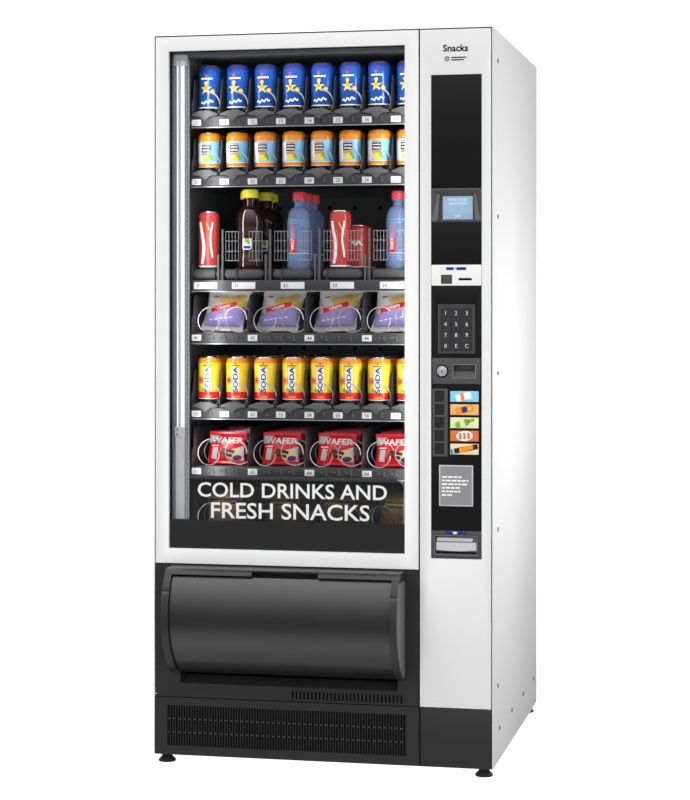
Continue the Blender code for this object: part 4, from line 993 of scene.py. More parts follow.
def holder(x, level):
    """Moulded rest at the foot of one row of cans: a neck on a wide, round-ended cap."""
    def side(sign):
        return [(x + sign * 0.0150, level + 0.0445), (x + sign * 0.0165, level + 0.0425),
                (x + sign * 0.0250, level + 0.0400), (x + sign * 0.0315, level + 0.0375),
                (x + sign * 0.0338, level + 0.0345), (x + sign * 0.0335, level + 0.0315),
                (x + sign * 0.0250, level + 0.0310), (x + sign * 0.0150, level + 0.0295),
                (x + sign * 0.0085, level + 0.0255), (x + sign * 0.0050, level + 0.0205)]
    outline = side(1) + list(reversed(side(-1)))
    cap = prism("y", outline, LIP_FRONT - 0.0060, LIP_FRONT + 0.0120, 0.0010)
    return cap


def hook(x, z):
    """Small catch beside each rest."""
    outline = [(x, z + 0.0060), (x + 0.0028, z + 0.0060), (x + 0.0028, z - 0.0020), (x + 0.0055, z - 0.0045),
               (x + 0.0055, z - 0.0065), (x, z - 0.0065)]
    return prism("y", outline, LIP_FRONT - 0.0028, LIP_FRONT + 0.0002, 0.0004)


def lane_divider(x, level, top):
    """Thin upright wall between two lanes with a raked front edge."""
    front, foot = LIP_FRONT + 0.0025, level + 0.0280
    outline = [(front, foot), (TRAY_BACK_Y - 0.004, foot), (TRAY_BACK_Y - 0.004, level + top),
               (front + 0.0260, level + top), (front + 0.0200, level + top - 0.006)]
    return prism("x", outline, x - 0.0011, x + 0.0011, 0.0004)


def tray_front(number, level, lanes):
    """Lip strip, bright foot line, labels, rests and dividers of one tray."""
    body = f"tray_{number}"
    pitch = (RIGHT - LEFT) / lanes
    strip_z = (level + 0.0022, level + 0.0292)
    strip = [block((LEFT, RIGHT), (LIP_FRONT - 0.0006, LIP_FRONT + 0.0002), strip_z, 0.0002)]
    foot = block((LEFT, RIGHT), (LIP_FRONT - 0.0035, LIP_FRONT + 0.0002), (level, level + 0.0020), 0.0005)
    darks, cards, inks, lights = [], [], [], [foot]
    middles = lane_middles(lanes)
    if lanes == CAN_LANES:
        for k, x in enumerate(middles):
            darks += [holder(x, level), hook(x + 0.0130, level + 0.0170), block(about(x - 0.0010, 0.0060), (LIP_FRONT - 0.0016,
                      LIP_FRONT), about(level + 0.0185, 0.0022), 0.0003)]
            card, digits = numbered(number * 10 + k, x - 0.0362, level + 0.0142)
            cards.append(card)
            inks.append(digits)
    elif lanes == CONVEYOR_LANES:
        for k in range(5):
            card, digits = numbered(30 + k, LEFT + 0.0068 + 0.1010 * min(k, 1) + 0.1285 * max(k - 1, 0), level + 0.0160, 0.0620,
                                    0.0175)
            cards.append(card)
            inks.append(digits)
    else:
        for k, x in enumerate(middles):
            card, digits = numbered(number * 10 + 2 * k, x - pitch / 2 + 0.0012, level + 0.0165)
            cards.append(card)
            inks.append(digits)
            for shift in (-0.028, 0.004, 0.036):
                darks += [block(about(x + shift, 0.0080), (LIP_FRONT - 0.0022, LIP_FRONT), about(level + 0.0175, 0.0034), 0.0004),
                          hook(x + shift + 0.0095, level + 0.0170)]
    piece(f"tray_{number}_lip", body, [(merged(strip), "tray_coat"), (merged(darks), "holder")] if darks
          else [(merged(strip), "tray_coat")])
    piece(f"tray_{number}_labels", body, [(merged(cards), "label_white"), (merged(inks), "label_ink"),
                                          (merged(lights), "trim_light")])
    if lanes != CONVEYOR_LANES:
        walls = [lane_divider(LEFT + pitch * k, level, 0.128) for k in range(1, lanes)]
        walls += [lane_divider(LEFT + 0.0014, level, 0.128), lane_divider(RIGHT - 0.0014, level, 0.128)]
        piece(f"tray_{number}_dividers", body, [(merged(walls), "divider")])
    frame["nodes"][body].data.materials.clear()
    frame["nodes"][body].data.materials.append(MATERIALS["tray_coat"])


def can_coils(number, level):
    """One spiral in each can lane, its end lying in front of the can."""
    wires = [coil_wire(x + 0.0010, level + 0.0627, 0.0318, 0.0016, 0.066, -1, 0.1225, 0.6300, 100, 32, 6)
             for x in lane_middles(8)]
    piece(f"tray_{number}_coils", f"tray_{number}", [(merged(wires), "coil_steel")])
    decks = [block(about(x, 0.024), (LIP_FRONT + 0.011, TRAY_BACK_Y - 0.003), (level + 0.0390, level + 0.0440), 0.0006)
             for x in lane_middles(8)]
    piece(f"tray_{number}_decks", f"tray_{number}", [(merged(decks), "divider")])


def wide_coils(number, level):
    """A matched pair of spirals in each wide lane."""
    x, depth, z = span("spiral_left")
    radius, wire = (x[1] - x[0]) / 2 - 0.0020, 0.0020
    pitch = (depth[1] - depth[0] - 2 * wire) / 9
    start, end = depth[0] + wire, depth[1] - wire
    wires = []
    for lane, middle in enumerate(lane_middles(4)):
        for side, hand in (("left", -1), ("right", 1)):
            centre = middle + hand * 0.0365
            wires_here = coil_wire(centre, level + 0.0627, radius, 0.0014, pitch, hand, start, end, 0, 40, 7)
            if number == 4 and lane == 0:
                piece(f"coil_{side}", f"spiral_{side}", [(wires_here, "coil_steel")], (f"spiral_{side}",))
            else:
                wires.append(wires_here)
    piece(f"tray_{number}_coils", f"tray_{number}", [(merged(wires), "coil_steel")])


def can_shapes(radius, height, bands, sides=30):
    """A drinks can from bands of (share of height, look): silver ends, print between."""
    foot, neck = 0.0105, 0.0125
    body_low, body_high = foot * 0.72, height - neck
    base = [(radius * 0.60, 0.0030), (radius * 0.72, 0.0004), (radius * 0.80, 0.0004), (radius * 0.93, 0.0040),
            (radius * 0.985, body_low)]
    top = [(radius, body_high), (radius * 0.985, body_high + 0.0018), (radius * 0.93, body_high + 0.0060),
           (radius * 0.865, body_high + 0.0095), (radius * 0.855, height - 0.0012), (radius * 0.835, height),
           (radius * 0.805, height - 0.0006), (radius * 0.790, height - 0.0045)]
    shapes = []
    shapes.append((turned(base, (0, 0), sides), "can_silver"))
    marks = [0.0, *(share for share, look in bands)]
    for low, high, (share, look) in zip(marks, marks[1:], bands):
        z0 = body_low + (body_high - body_low) * low
        z1 = body_low + (body_high - body_low) * high
        start = radius * 0.985 if low == 0 else radius
        profile = [(start, z0), (radius, z0 + 0.0015), (radius, z1)]
        if high == 1.0:
            profile += top[1:4]
        shapes.append((turned(profile, (0, 0), sides), look))
    shapes.append((turned(top[3:], (0, 0), sides), "can_silver"))
    return shapes


def spread(parts, places, dz):
    """Copy (shape, look) parts to several (x, depth) places at a height."""
    return [(repeated(shape, [(x, y, dz) for x, y in places]), look) for shape, look in parts]


def disc(x, z, radius, front=0.0, thick=0.0002, sides=20):
    return rod("y", (x, z), radius, front - thick, front, sides)


def ribbon(points, width, front=0.0, thick=0.0002):
    """A flat band along points in the front plane."""
    path = [Vector(p) for p in points]
    left, right = [], []
    for k, here in enumerate(path):
        along = (path[min(k + 1, len(path) - 1)] - path[max(k - 1, 0)]).normalized()
        side = Vector((-along.y, along.x)) * width / 2
        left.append(tuple(here + side))
        right.append(tuple(here - side))
    bm = bmesh.new()
    rings = []
    for (ax, az), (bx, bz) in zip(left, right):
        rings.append([bm.verts.new(p) for p in ((ax, front - thick, az), (bx, front - thick, bz), (bx, front, bz),
                                                 (ax, front, az))])
    for near, far in zip(rings, rings[1:]):
        for k in range(4):
            nxt = (k + 1) % 4
            bm.faces.new((near[k], near[nxt], far[nxt], far[k]))
    bm.faces.new(rings[0])
    bm.faces.new(rings[-1])
    bmesh.ops.recalc_face_normals(bm, faces=bm.faces)
    return bm


def stack(places_x, front_y, pitch, deep):
    return [(x, front_y + pitch * k) for k in range(deep) for x in places_x]


def stock_blue_cans():
    radius, height, level = 0.0288, 0.1180, LEVELS[0] + 0.0450
    look = can_shapes(radius, height, [(0.03, "print_white"), (0.96, "blue_bright"), (1.0, "print_navy")])
    at = (0, 0)
    petals = [turned_about(prism("y", [(-0.0036, 0.0030), (0.0036, 0.0030), (0.0, 0.0165)], -0.0003, 0.0), 72 * k, "Y", (0, 0, 0))
              for k in range(5)]
    flower = moved(merged(petals), -0.0030, 0.0, 0.0570)
    wave = ribbon([(-0.017 + 0.002 * k, 0.0200 + 0.0004 * k + 0.0034 * math.sin(k * 1.1)) for k in range(18)], 0.0034)
    words = [plate((low, low + 0.0050), (0.0815, 0.0855), 0.0008, -0.0003, 0.0) for low in (-0.0170, -0.0105, -0.0040, 0.0025, 0.0090)]
    tips = [turned_about(prism("y", [(-0.0014, 0.0), (0.0014, 0.0), (0.0, 0.0052)], -0.0003, 0.0), 72 * k, "Y", (0, 0, 0))
            for k in range(5)]
    star = moved(merged(tips), -0.0030, 0.0, 0.0920)
    marks = [(wrapped(flower, at, radius + 0.0001), "print_yellow"),
             (wrapped(disc(-0.0030, 0.0590, 0.0052), at, radius + 0.0004), "print_orange"),
             (wrapped(disc(-0.0030, 0.0720, 0.0044), at, radius + 0.0004), "print_yellow"),
             (wrapped(disc(0.0150, 0.0500, 0.0062), at, radius + 0.0001), "print_orange"),
             (wrapped(disc(0.0150, 0.0500, 0.0040, -0.0002), at, radius + 0.0002), "print_yellow"),
             (wrapped(star, at, radius + 0.0001), "print_red"), (wrapped(merged(words), at, radius + 0.0001), "print_white"),
             (wrapped(wave, at, radius + 0.0001), "print_white")]
    cans = stack(lane_middles(8), LIP_FRONT + 0.0440, 0.066, 6)
    parts = spread(look, cans, level) + spread(marks, cans[:16], level)
    piece("stock_blue_cans", "tray_1", parts)


def stock_juice_cans():
    radius, height, level = 0.0300, 0.0985, LEVELS[1] + 0.0450
    look = can_shapes(radius, height, [(0.02, "print_white"), (0.13, "print_orange"), (0.15, "print_white"),
                                       (0.84, "blue_pale"), (1.0, "print_orange")])
    at = (0, 0)
    white = plate((-0.0330, -0.0140), (0.0205, 0.0700), 0.0030, -0.0002, 0.0)
    sign = plate((-0.0150, 0.0100), (0.0455, 0.0640), 0.0008, -0.0004, -0.0001)
    lines = [ribbon([(-0.0120 + 0.0025 * k, z + 0.0012 * math.sin(k * 2.1 + z * 900)) for k in range(9)], 0.0026, -0.0005)
             for z in (0.0590, 0.0515)]
    band = plate((-0.0150, 0.0100), (0.0380, 0.0440), 0.0005, -0.0004, -0.0001)
    roof = plate((-0.0150, 0.0100), (0.0655, 0.0690), 0.0005, -0.0004, -0.0001)
    fruit = [disc(0.0020, 0.0300, 0.0080, -0.0001), disc(-0.0070, 0.0270, 0.0050, -0.0001)]
    leaves = [disc(0.0085, 0.0350, 0.0048, -0.0003), disc(0.0120, 0.0290, 0.0038, -0.0003)]
    marks = [(wrapped(white, at, radius + 0.0001), "print_white"), (wrapped(sign, at, radius), "print_dark"),
             (wrapped(merged(lines), at, radius), "print_white"), (wrapped(merged([band, roof]), at, radius), "print_orange"),
             (wrapped(merged(fruit), at, radius), "print_yellow"), (wrapped(merged(leaves), at, radius), "print_green")]
    cans = stack(lane_middles(8), LIP_FRONT + 0.0440, 0.066, 6)
    piece("stock_juice_cans", "tray_2", spread(look, cans, level) + spread(marks, cans[:16], level))


def stock_yellow_cans():
    radius, height, level = 0.0300, 0.1160, LEVELS[4] + 0.0440
    look = can_shapes(radius, height, [(0.02, "print_white"), (0.20, "print_red"), (0.965, "print_yellow"),
                                       (1.0, "print_orange")])
    at = (0, 0)
    word = turned_about(lettering("SODA", 0.0120, 0.0, 0.0, -0.0006, 0.0003, bold=0.0006), -90, "Y", (0, 0, 0))
    for vert in word.verts:
        vert.co.z *= 1.45
    moved(word, 0.0010, 0.0, 0.0580)
    panel = plate((-0.0082, 0.0100), (0.0280, 0.0880), 0.0030, -0.0003, 0.0)
    spark = [turned_about(plate((-0.0016, 0.0016), (0.0, 0.0110), 0.0012, -0.0002, 0.0), 45 * k, "Y", (0, 0, 0))
             for k in range(8)]
    burst = moved(merged(spark), -0.0180, 0.0, 0.0560)
    cap = moved(plate((-0.0120, 0.0130), (0.0, 0.0026), 0.0010, -0.0002, 0.0), 0, 0, 0.0930)
    green = [disc(-0.0110, 0.0330, 0.0050, -0.0001), disc(-0.0065, 0.0290, 0.0036, -0.0001)]
    dash = plate((-0.0080, 0.0120), (0.0120, 0.0165), 0.0015, -0.0002, 0.0)
    marks = [(wrapped(panel, at, radius), "print_white"), (wrapped(word, at, radius), "print_navy"),
             (wrapped(burst, at, radius + 0.0001), "print_red"), (wrapped(cap, at, radius + 0.0001), "print_navy"),
             (wrapped(disc(0.0010, 0.0995, 0.0026), at, radius + 0.0001), "print_red"),
             (wrapped(merged(green), at, radius + 0.0001), "print_green"), (wrapped(dash, at, radius + 0.0001), "print_orange")]
    cans = stack(lane_middles(8), LIP_FRONT + 0.0440, 0.066, 6)
    piece("stock_yellow_cans", "tray_5", spread(look, cans, level) + spread(marks, cans[:16], level))


def bottle_shapes(radius, height, look, cap, cap_radius=0.0155, waist=0.90):
    """A drinks bottle: ribbed body, shoulder, neck and screw cap."""
    profile = [(radius * 0.55, 0.004), (radius * 0.70, 0.0), (radius * 0.92, 0.002), (radius, 0.012)]
    for k in range(7):
        level = 0.014 + (height * 0.50 - 0.014) * k / 6
        profile += [(radius * (waist if 1 < k < 5 else 1.0), level), (radius * (waist if 1 < k < 5 else 0.97), level + 0.004)]
    for k in range(7):
        turn = math.radians(90 * k / 6)
        low, high = height * 0.56, height * 0.80
        profile.append((0.0125 + (radius - 0.0125) * math.cos(turn) ** 0.8, low + (high - low) * math.sin(turn)))
    profile += [(0.0125, height * 0.87), (0.0165, height * 0.875), (0.0165, height * 0.89), (0.0120, height * 0.895)]
    closure = [(cap_radius * 0.99, height * 0.895), (cap_radius, height * 0.90), (cap_radius, height * 0.985),
               (cap_radius * 0.90, height), (0.002, height)]
    ridges = [block((-0.0006, 0.0006), (-cap_radius - 0.0005, -cap_radius + 0.0005), (height * 0.905, height * 0.975))]
    grip = merged([turned_about(ridge.copy(), 15 * k, "Z", (0, 0, 0)) for ridge in ridges for k in range(24)])
    for ridge in ridges:
        ridge.free()
    return [(turned(profile, (0, 0), 28), look), (turned(closure, (0, 0), 28), cap), (grip, cap)]


def stock_bottles():
    """Conveyor row: tall cans, dark and clear bottles, guards, rollers and posts."""
    level = LEVELS[2]
    floor = level + 0.0560
    lanes = [(-0.3600, -0.3050), (-0.2770, -0.1830), (-0.1480, -0.0540), (-0.0190, 0.0750), (0.1100, 0.2040)]
    rollers, caps, belts = [], [], []
    for low, high in lanes:
        rollers.append(rod("x", (LIP_FRONT + 0.0160, level + 0.0450), 0.0132, low, high, 28, 0.0008))
        caps.append(rod("x", (LIP_FRONT + 0.0160, level + 0.0450), 0.0070, low - 0.0040, high + 0.0040, 16))
        belts.append(block((low + 0.002, high - 0.002), (LIP_FRONT + 0.0160, TRAY_BACK_Y - 0.012), (floor - 0.0020, floor - 0.0004),
                           0.0003))
    piece("conveyor_belts", "tray_3", [(merged(rollers), "roller"), (merged(belts), "roller"), (merged(caps), "holder")])
    posts, rails = [], []
    for k, (here, there) in enumerate(zip(lanes, lanes[1:])):
        middle = (here[1] + there[0]) / 2
        for shift in (-0.0055, 0.0060):
            posts.append(block(about(middle + shift, 0.0048), (LIP_FRONT + 0.004, LIP_FRONT + 0.010),
                               (level + 0.0285, level + (0.160 if shift > 0 else 0.095)), 0.0008))
        posts.append(block(about(middle, 0.0030), (LIP_FRONT + 0.010, TRAY_BACK_Y - 0.006), (level + 0.028, level + 0.060), 0.0006))
    piece("conveyor_posts", "tray_3", [(merged(posts), "holder")])
    for low, high in lanes[1:]:
        for side, edge in ((1, low - 0.001), (-1, high + 0.001)):
            for k in range(5):
                rails.append(block(about(edge + side * 0.0085 * k, 0.0011), (LIP_FRONT + 0.010, LIP_FRONT + 0.0118),
                                   (level + 0.078, level + 0.156), 0.0003))
            for rise in (0.080, 0.104, 0.130, 0.154):
                rails.append(block((min(edge, edge + side * 0.034), max(edge, edge + side * 0.034)),
                                   (LIP_FRONT + 0.0104, LIP_FRONT + 0.0120), about(level + rise, 0.0014), 0.0003))
    piece("bottle_guards", "tray_3", [(merged(rails), "guard_plastic")])
    at = (0, 0)
    slim = can_shapes(0.0272, 0.1510, [(0.03, "print_white"), (1.0, "can_red")], 30)
    swirl = ribbon([(-0.0130 + 0.0060 * math.sin(0.16 * k), 0.0160 + 0.0040 * k) for k in range(28)], 0.0085)
    swirl_two = ribbon([(0.0130 + 0.0030 * math.sin(0.20 * k + 2), 0.0320 + 0.0034 * k) for k in range(28)], 0.0046)
    slash = ribbon([(0.0010 + 0.0012 * k, 0.1200 - 0.0026 * k) for k in range(8)], 0.0022, -0.0003)
    marks = [(wrapped(merged([swirl, swirl_two]), at, 0.0273), "print_white"), (wrapped(slash, at, 0.0273), "print_yellow")]
    slim_places = [(-0.3325, LIP_FRONT + 0.0480), (0.0150, LIP_FRONT + 0.0480)]
    short = can_shapes(0.0310, 0.1180, [(0.03, "print_white"), (1.0, "can_red")], 30)
    short_places = [(0.0420, LIP_FRONT + 0.1500), (0.0420, LIP_FRONT + 0.2200)]
    script = [(wrapped(ribbon([(-0.0150 + 0.0030 * k, 0.0700 + 0.0050 * math.sin(k * 1.2)) for k in range(11)], 0.0050), at, 0.0311),
               "print_white")]
    piece("stock_red_cans", "tray_3", spread(slim, slim_places, floor) + spread(marks, slim_places, floor)
          + spread(short, short_places, floor) + spread(script, short_places, floor))
    dark = bottle_shapes(0.0345, 0.2080, "drink_dark", "cap_yellow", 0.0205, 0.93)
    tag = plate((-0.0120, 0.0120), (0.0520, 0.0880), 0.0060, -0.0003, 0.0)
    tag_mark = [disc(0.0, 0.0760, 0.0062, -0.0003), disc(0.0040, 0.0700, 0.0046, -0.0003)]
    tag_foot = plate((-0.0100, 0.0100), (0.0550, 0.0620), 0.0030, -0.0005, -0.0002)
    waist = 0.0345 * 0.93
    tags = [(wrapped(tag, at, waist + 0.0002), "print_white"), (wrapped(merged(tag_mark), at, waist + 0.0003), "print_green"),
            (wrapped(tag_foot, at, waist + 0.0002), "print_navy")]
    dark_places = [(-0.2260, LIP_FRONT + 0.0580), (-0.2480, LIP_FRONT + 0.1260), (-0.2200, LIP_FRONT + 0.2050),
                   (-0.2300, LIP_FRONT + 0.2900)]
    piece("stock_dark_bottles", "tray_3", spread(dark, dark_places, floor) + spread(tags, dark_places[:3], floor))
    clear = bottle_shapes(0.0310, 0.2000, "water_bottle", "cap_red", 0.0160)
    waist = 0.0310 * 0.90
    stripe = plate((-0.0200, -0.0020), (0.0440, 0.1140), 0.0020, -0.0004, -0.0002)
    rings = merged([turned([(waist + 0.0002, at_z), (waist + 0.0008, at_z + 0.0015), (waist + 0.0002, at_z + 0.0030)], at, 28)
                    for at_z in (0.0260, 0.0330, 0.0400, 0.1180, 0.1250)])
    letters = turned_about(lettering("WATER", 0.0090, 0.0, 0.0, -0.0008, 0.0002, bold=0.0004), -90, "Y", (0, 0, 0))
    moved(letters, -0.0110, 0.0, 0.0720)
    sleeves = [(rings, "blue_pale"), (wrapped(stripe, at, waist + 0.0004), "print_red"),
               (wrapped(letters, at, waist + 0.0004), "print_white")]
    clear_places = stack([-0.0960, 0.1620], LIP_FRONT + 0.0580, 0.0820, 3)
    piece("stock_clear_bottles", "tray_3", spread(clear, clear_places, floor) + spread(sleeves, clear_places, floor))


def belly(u, v, seed, side=3.1):
    """How far a filled bag stands out at a place on its face, from 0 to about 1."""
    inner = min(max((v - 0.10) / 0.80, 0.0), 1.0)
    swell = (math.sin(math.pi * inner) ** 0.55) * (max(1 - abs(2 * u - 1) ** 2.6, 0.0) ** 0.8)
    return swell * (1 + 0.16 * noise.noise(Vector((u * 5 + seed, v * 4, side)))), 1 - 0.05 * math.sin(math.pi * inner)


def pouch(width, height, depth, seed, columns=26, rows=22):
    """A filled bag: crimped seals at its foot and top, a crumpled belly between."""
    bm = bmesh.new()
    grids = []
    for front in (1, -1):
        grid = []
        for j in range(rows + 1):
            line = []
            for k in range(columns + 1):
                u, v = k / columns, j / rows
                swell, draw = belly(u, v, seed, front * 3.1)
                line.append(bm.verts.new(((u - 0.5) * width * draw, -front * (depth / 2 * swell + 0.0003), v * height)))
            grid.append(line)
        grids.append(grid)
        for j in range(rows):
            for k in range(columns):
                bm.faces.new((grid[j][k], grid[j][k + 1], grid[j + 1][k + 1], grid[j + 1][k]))
    near, far = grids
    edge = [(0, k) for k in range(columns)] + [(j, columns) for j in range(rows)]
    edge += [(rows, k) for k in range(columns, 0, -1)] + [(j, 0) for j in range(rows, 0, -1)]
    for (a, b), (c, d) in zip(edge, edge[1:] + edge[:1]):
        bm.faces.new((near[a][b], near[c][d], far[c][d], far[a][b]))
    bmesh.ops.recalc_face_normals(bm, faces=bm.faces)
    return bm


def draped(shape, size, seed):
    """Lay a flat shape on the front of a bag; its y stays its height off the face."""
    width, height, depth = size
    for axis, normal in ((0, (1, 0, 0)), (2, (0, 0, 1))):
        values = [vert.co[axis] for vert in shape.verts]
        for k in range(math.ceil(min(values) / 0.005), math.floor(max(values) / 0.005) + 1):
            geometry = shape.verts[:] + shape.edges[:] + shape.faces[:]
            place = [0.005 * k * part for part in normal]
            bmesh.ops.bisect_plane(shape, geom=geometry, plane_co=place, plane_no=normal, dist=1e-7)
    for vert in shape.verts:
        v = min(max(vert.co.z / height, 0.0), 1.0)
        draw = belly(0.5, v, seed)[1]
        u = min(max(vert.co.x / (width * draw) + 0.5, 0.0), 1.0)
        vert.co.y -= depth / 2 * belly(u, v, seed)[0] + 0.0005
    return shape


def flat(outline, lift=0.0003):
    return prism("y", outline, -lift, 0.0)


def oval(x, z, wide, high, lift=0.0003, tilt=0.0):
    points = [(wide / 2 * math.cos(t), high / 2 * math.sin(t)) for t in (2 * math.pi * k / 26 for k in range(26))]
    c, d = math.cos(math.radians(tilt)), math.sin(math.radians(tilt))
    return flat([(x + a * c - b * d, z + a * d + b * c) for a, b in points], lift)


def crisp_print():
    """Lavender foot, tilted red flash with a plain word, and gold crisps."""
    foot = flat([(-0.049, 0.012), (0.049, 0.012), (0.049, 0.064), (-0.049, 0.044)])
    flash = flat([(-0.036, 0.046), (0.028, 0.062), (0.026, 0.076), (-0.038, 0.060)], 0.0006)
    word = turned_about(lettering("CRISPS", 0.0080, 0.0, 0.0, -0.0012, 0.0003, bold=0.0003), -14, "Y", (0, 0, 0))
    crisps = [oval(x, z, 0.034, 0.020, 0.0004, tilt) for x, z, tilt in
              ((0.018, 0.082, 20), (0.036, 0.074, -30), (-0.004, 0.078, -10), (0.030, 0.088, 5))]
    dashes = [plate((-0.036 + 0.013 * k, -0.027 + 0.013 * k), (0.0260 + 0.002 * k, 0.0290 + 0.002 * k), 0.001, -0.0006, 0.0)
              for k in range(5)]
    leaf = oval(-0.034, 0.088, 0.016, 0.004, 0.0005, 10)
    return [(foot, "foil_lavender"), (merged(crisps), "crisp_gold"), (flash, "print_red"),
            (moved(word, -0.005, 0.0, 0.061), "print_white"), (merged(dashes), "print_white"), (leaf, "print_red")]


def wafer_print():
    """White corner, a plain word, two wafer fingers and an oval."""
    corner = flat([(-0.047, 0.052), (-0.030, 0.056), (-0.020, 0.073), (-0.047, 0.073)])
    word = lettering("WAFER", 0.0150, 0.003, 0.0610, -0.0012, 0.0003, bold=0.0007)
    low, high = min(v.co.x for v in word.verts), max(v.co.x for v in word.verts)
    for vert in word.verts:
        vert.co.x = -0.042 + (vert.co.x - low) / (high - low) * 0.086
    burst = oval(0.022, 0.026, 0.040, 0.026, 0.0004, 20)
    fingers = [flat([(x - 0.018, z + 0.003), (x + 0.015, z - 0.004), (x + 0.017, z + 0.004), (x - 0.016, z + 0.011)], 0.0010)
               for x, z in ((0.006, 0.030), (0.000, 0.020))]
    ends = [flat([(x - 0.022, z + 0.004), (x - 0.018, z + 0.003), (x - 0.016, z + 0.011), (x - 0.020, z + 0.012)], 0.0012)
            for x, z in ((0.006, 0.030), (0.000, 0.020))]
    seal = oval(0.030, 0.016, 0.023, 0.013, 0.0012, 8)
    dash = plate(about(0.030, 0.013), about(0.016, 0.0032), 0.0012, -0.0015, 0.0)
    small = plate((-0.040, -0.020), (0.0440, 0.0470), 0.001, -0.0006, 0.0)
    white = merged([flat([(0.010, 0.008), (0.046, 0.008), (0.046, 0.048), (0.030, 0.042)], 0.0002),
                    flat([(-0.040, 0.012), (-0.026, 0.010), (-0.022, 0.040), (-0.036, 0.042)], 0.0002)])
    return [(white, "foil_white"), (corner, "foil_white"), (word, "print_white"), (burst, "cream_print"), (merged(fingers), "cocoa"),
            (merged(ends), "biscuit"), (seal, "print_navy"), (dash, "print_red"), (small, "print_white")]


def biscuit_print():
    """Navy head with a pale line and a row of biscuits."""
    head = flat([(-0.042, 0.058), (0.042, 0.058), (0.042, 0.074), (-0.042, 0.074)])
    line = plate((-0.032, 0.032), (0.0630, 0.0690), 0.002, -0.0006, 0.0)
    rounds = [oval(-0.022 + 0.022 * k, 0.034, 0.026, 0.028, 0.0005) for k in range(3)]
    return [(head, "print_navy"), (line, "print_yellow"), (merged(rounds), "biscuit")]


def stock_packs():
    """Bags and packs in the three wide-lane trays."""
    shifts = random.Random(11)
    rows = ((4, "stock_crisp_bags", (0.112, 0.104, 0.036), "foil_white", crisp_print, 0.0330, 0.20),
            (6, "stock_wafer_packs", (0.100, 0.082, 0.022), "foil_red", wafer_print, 0.0310, 0.03),
            (7, "stock_gold_packs", (0.092, 0.082, 0.026), "foil_gold", biscuit_print, 0.0310, 0.0))
    for number, name, size, base, printed, rise, slant in rows:
        parts = []
        for lane, middle in enumerate(lane_middles(4)):
            sway = shifts.uniform(-0.005, 0.005)
            for k in range(5):
                seed = lane * 7 + k * 3 + number
                here = [(pouch(*size, seed), base)]
                if k < 2:
                    here += [(draped(shape, size, seed), look) for shape, look in printed()]
                lean, roll = shifts.uniform(4, 7), shifts.uniform(-2, 2)
                place = (middle - 0.004 + sway, LIP_FRONT + 0.0780 + 0.0600 * k, LEVELS[number - 1] + rise)
                for shape, look in here:
                    for vert in shape.verts:
                        vert.co.x += slant * (vert.co.z - size[1] / 2)
                    turned_about(shape, roll, "Y", (0, 0, size[1] / 2))
                    turned_about(shape, -lean, "X", (0, 0, 0))
                    parts.append((moved(shape, *place), look))
        piece(name, f"tray_{number}", parts, angle=60)


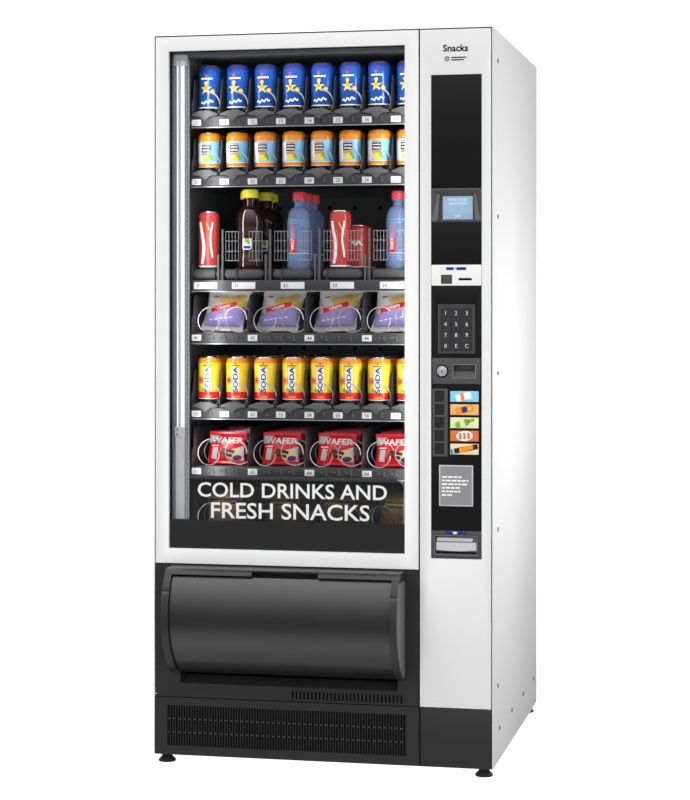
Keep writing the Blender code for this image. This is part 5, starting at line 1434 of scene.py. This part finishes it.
# ---------------------------------------------------------------- studio
def floor_and_light():
    """Plain pale floor and backdrop, a white surround and soft lamps."""
    bend_y, bend = 14.0, 2.2
    profile = [(-18.0, 0.0), (bend_y, 0.0)]
    for k in range(1, 13):
        turn = math.radians(90 * k / 12)
        profile.append((bend_y + bend * math.sin(turn), bend * (1 - math.cos(turn))))
    profile.append((bend_y + bend, 9.0))
    bm = bmesh.new()
    lines = [[bm.verts.new((x, y, z)) for y, z in profile] for x in (-18.0, 18.0)]
    for k in range(len(profile) - 1):
        bm.faces.new((lines[0][k], lines[1][k], lines[1][k + 1], lines[0][k + 1]))
    mesh = bpy.data.meshes.new("studio_floor")
    bmesh.ops.recalc_face_normals(bm, faces=bm.faces)
    bm.to_mesh(mesh)
    bm.free()
    mesh.materials.append(MATERIALS["floor"])
    mesh.shade_smooth()
    stage = bpy.data.objects.new("studio_floor", mesh)
    stage.visible_diffuse = False
    stage.visible_glossy = False
    stage.visible_shadow = False
    scene.collection.objects.link(stage)

    world = bpy.data.worlds.new("studio")
    world.use_nodes = True
    nodes, links = world.node_tree.nodes, world.node_tree.links
    place = nodes.new("ShaderNodeTexCoord")
    parts = nodes.new("ShaderNodeSeparateXYZ")
    height = nodes.new("ShaderNodeMapRange")
    height.inputs["From Min"].default_value = -1.0
    ramp = nodes.new("ShaderNodeValToRGB")
    stops = ((0.0, 0.22), (0.07, 0.60), (0.17, 0.50), (0.30, 0.05), (0.45, 0.03), (0.60, 0.26), (0.78, 0.90), (0.92, 1.5))
    bands = ramp.color_ramp.elements
    for where, grey in stops[1:-1]:
        bands.new(where)
    for band, (where, grey) in zip(bands, stops):
        band.position = where
        band.color = (grey, grey, grey, 1.0)
    links.new(place.outputs["Generated"], parts.inputs["Vector"])
    links.new(parts.outputs["Z"], height.inputs["Value"])
    links.new(height.outputs["Result"], ramp.inputs["Fac"])
    links.new(ramp.outputs["Color"], nodes["Background"].inputs["Color"])
    nodes["Background"].inputs["Strength"].default_value = 1.35
    scene.world = world
    scene.view_settings.view_transform = "Standard"

    def lamp_area(name, place, aim, size, power, glossy=False):
        data = bpy.data.lights.new(name, "AREA")
        data.shape = "RECTANGLE"
        data.size, data.size_y = size
        data.energy = power
        made = bpy.data.objects.new(name, data)
        made.location = place
        made.rotation_euler = (Vector(aim) - Vector(place)).to_track_quat("-Z", "Y").to_euler()
        made.visible_glossy = glossy
        scene.collection.objects.link(made)

    lamp_area("front_right_softbox", (1.30, -3.0, 0.90), (0.1, -0.4, 0.90), (1.4, 1.4), 26)
    lamp_area("front_left_softbox", (-1.00, -3.1, 0.90), (-0.1, -0.4, 0.90), (1.6, 1.4), 26)
    lamp_area("right_softbox", (1.36, 0.05, 0.93), (0.43, 0.05, 0.93), (0.9, 0.5), 11)
    lamp_area("window_light", (-0.330, FRONT + 0.066, 1.17), (0.05, 0.20, 1.17), (0.03, 1.15), 1.1, True)
    lamp_area("window_fill", (0.215, FRONT + 0.066, 1.20), (-0.15, 0.20, 1.20), (0.03, 1.10), 1.2, True)
    lamp_area("window_top", (-0.07, FRONT + 0.075, 1.775), (-0.07, 0.20, 0.90), (0.5, 0.03), 0.6)


# ---------------------------------------------------------------- assembly
casing()
kick_grille()
back()
machinery()
glass_door()
lamp()
banner()
drum()
column_front()
display_unit()
coin_entry()
keypad()
lock_unit()
selection()
change_cup()
chamber()
for number, (level, lanes) in enumerate(zip(LEVELS, LANES), 1):
    tray_front(number, level, lanes)
    if lanes == CAN_LANES:
        can_coils(number, level)
    elif lanes == WIDE_LANES:
        wide_coils(number, level)
stock_blue_cans()
stock_juice_cans()
stock_yellow_cans()
stock_bottles()
stock_packs()
floor_and_light()
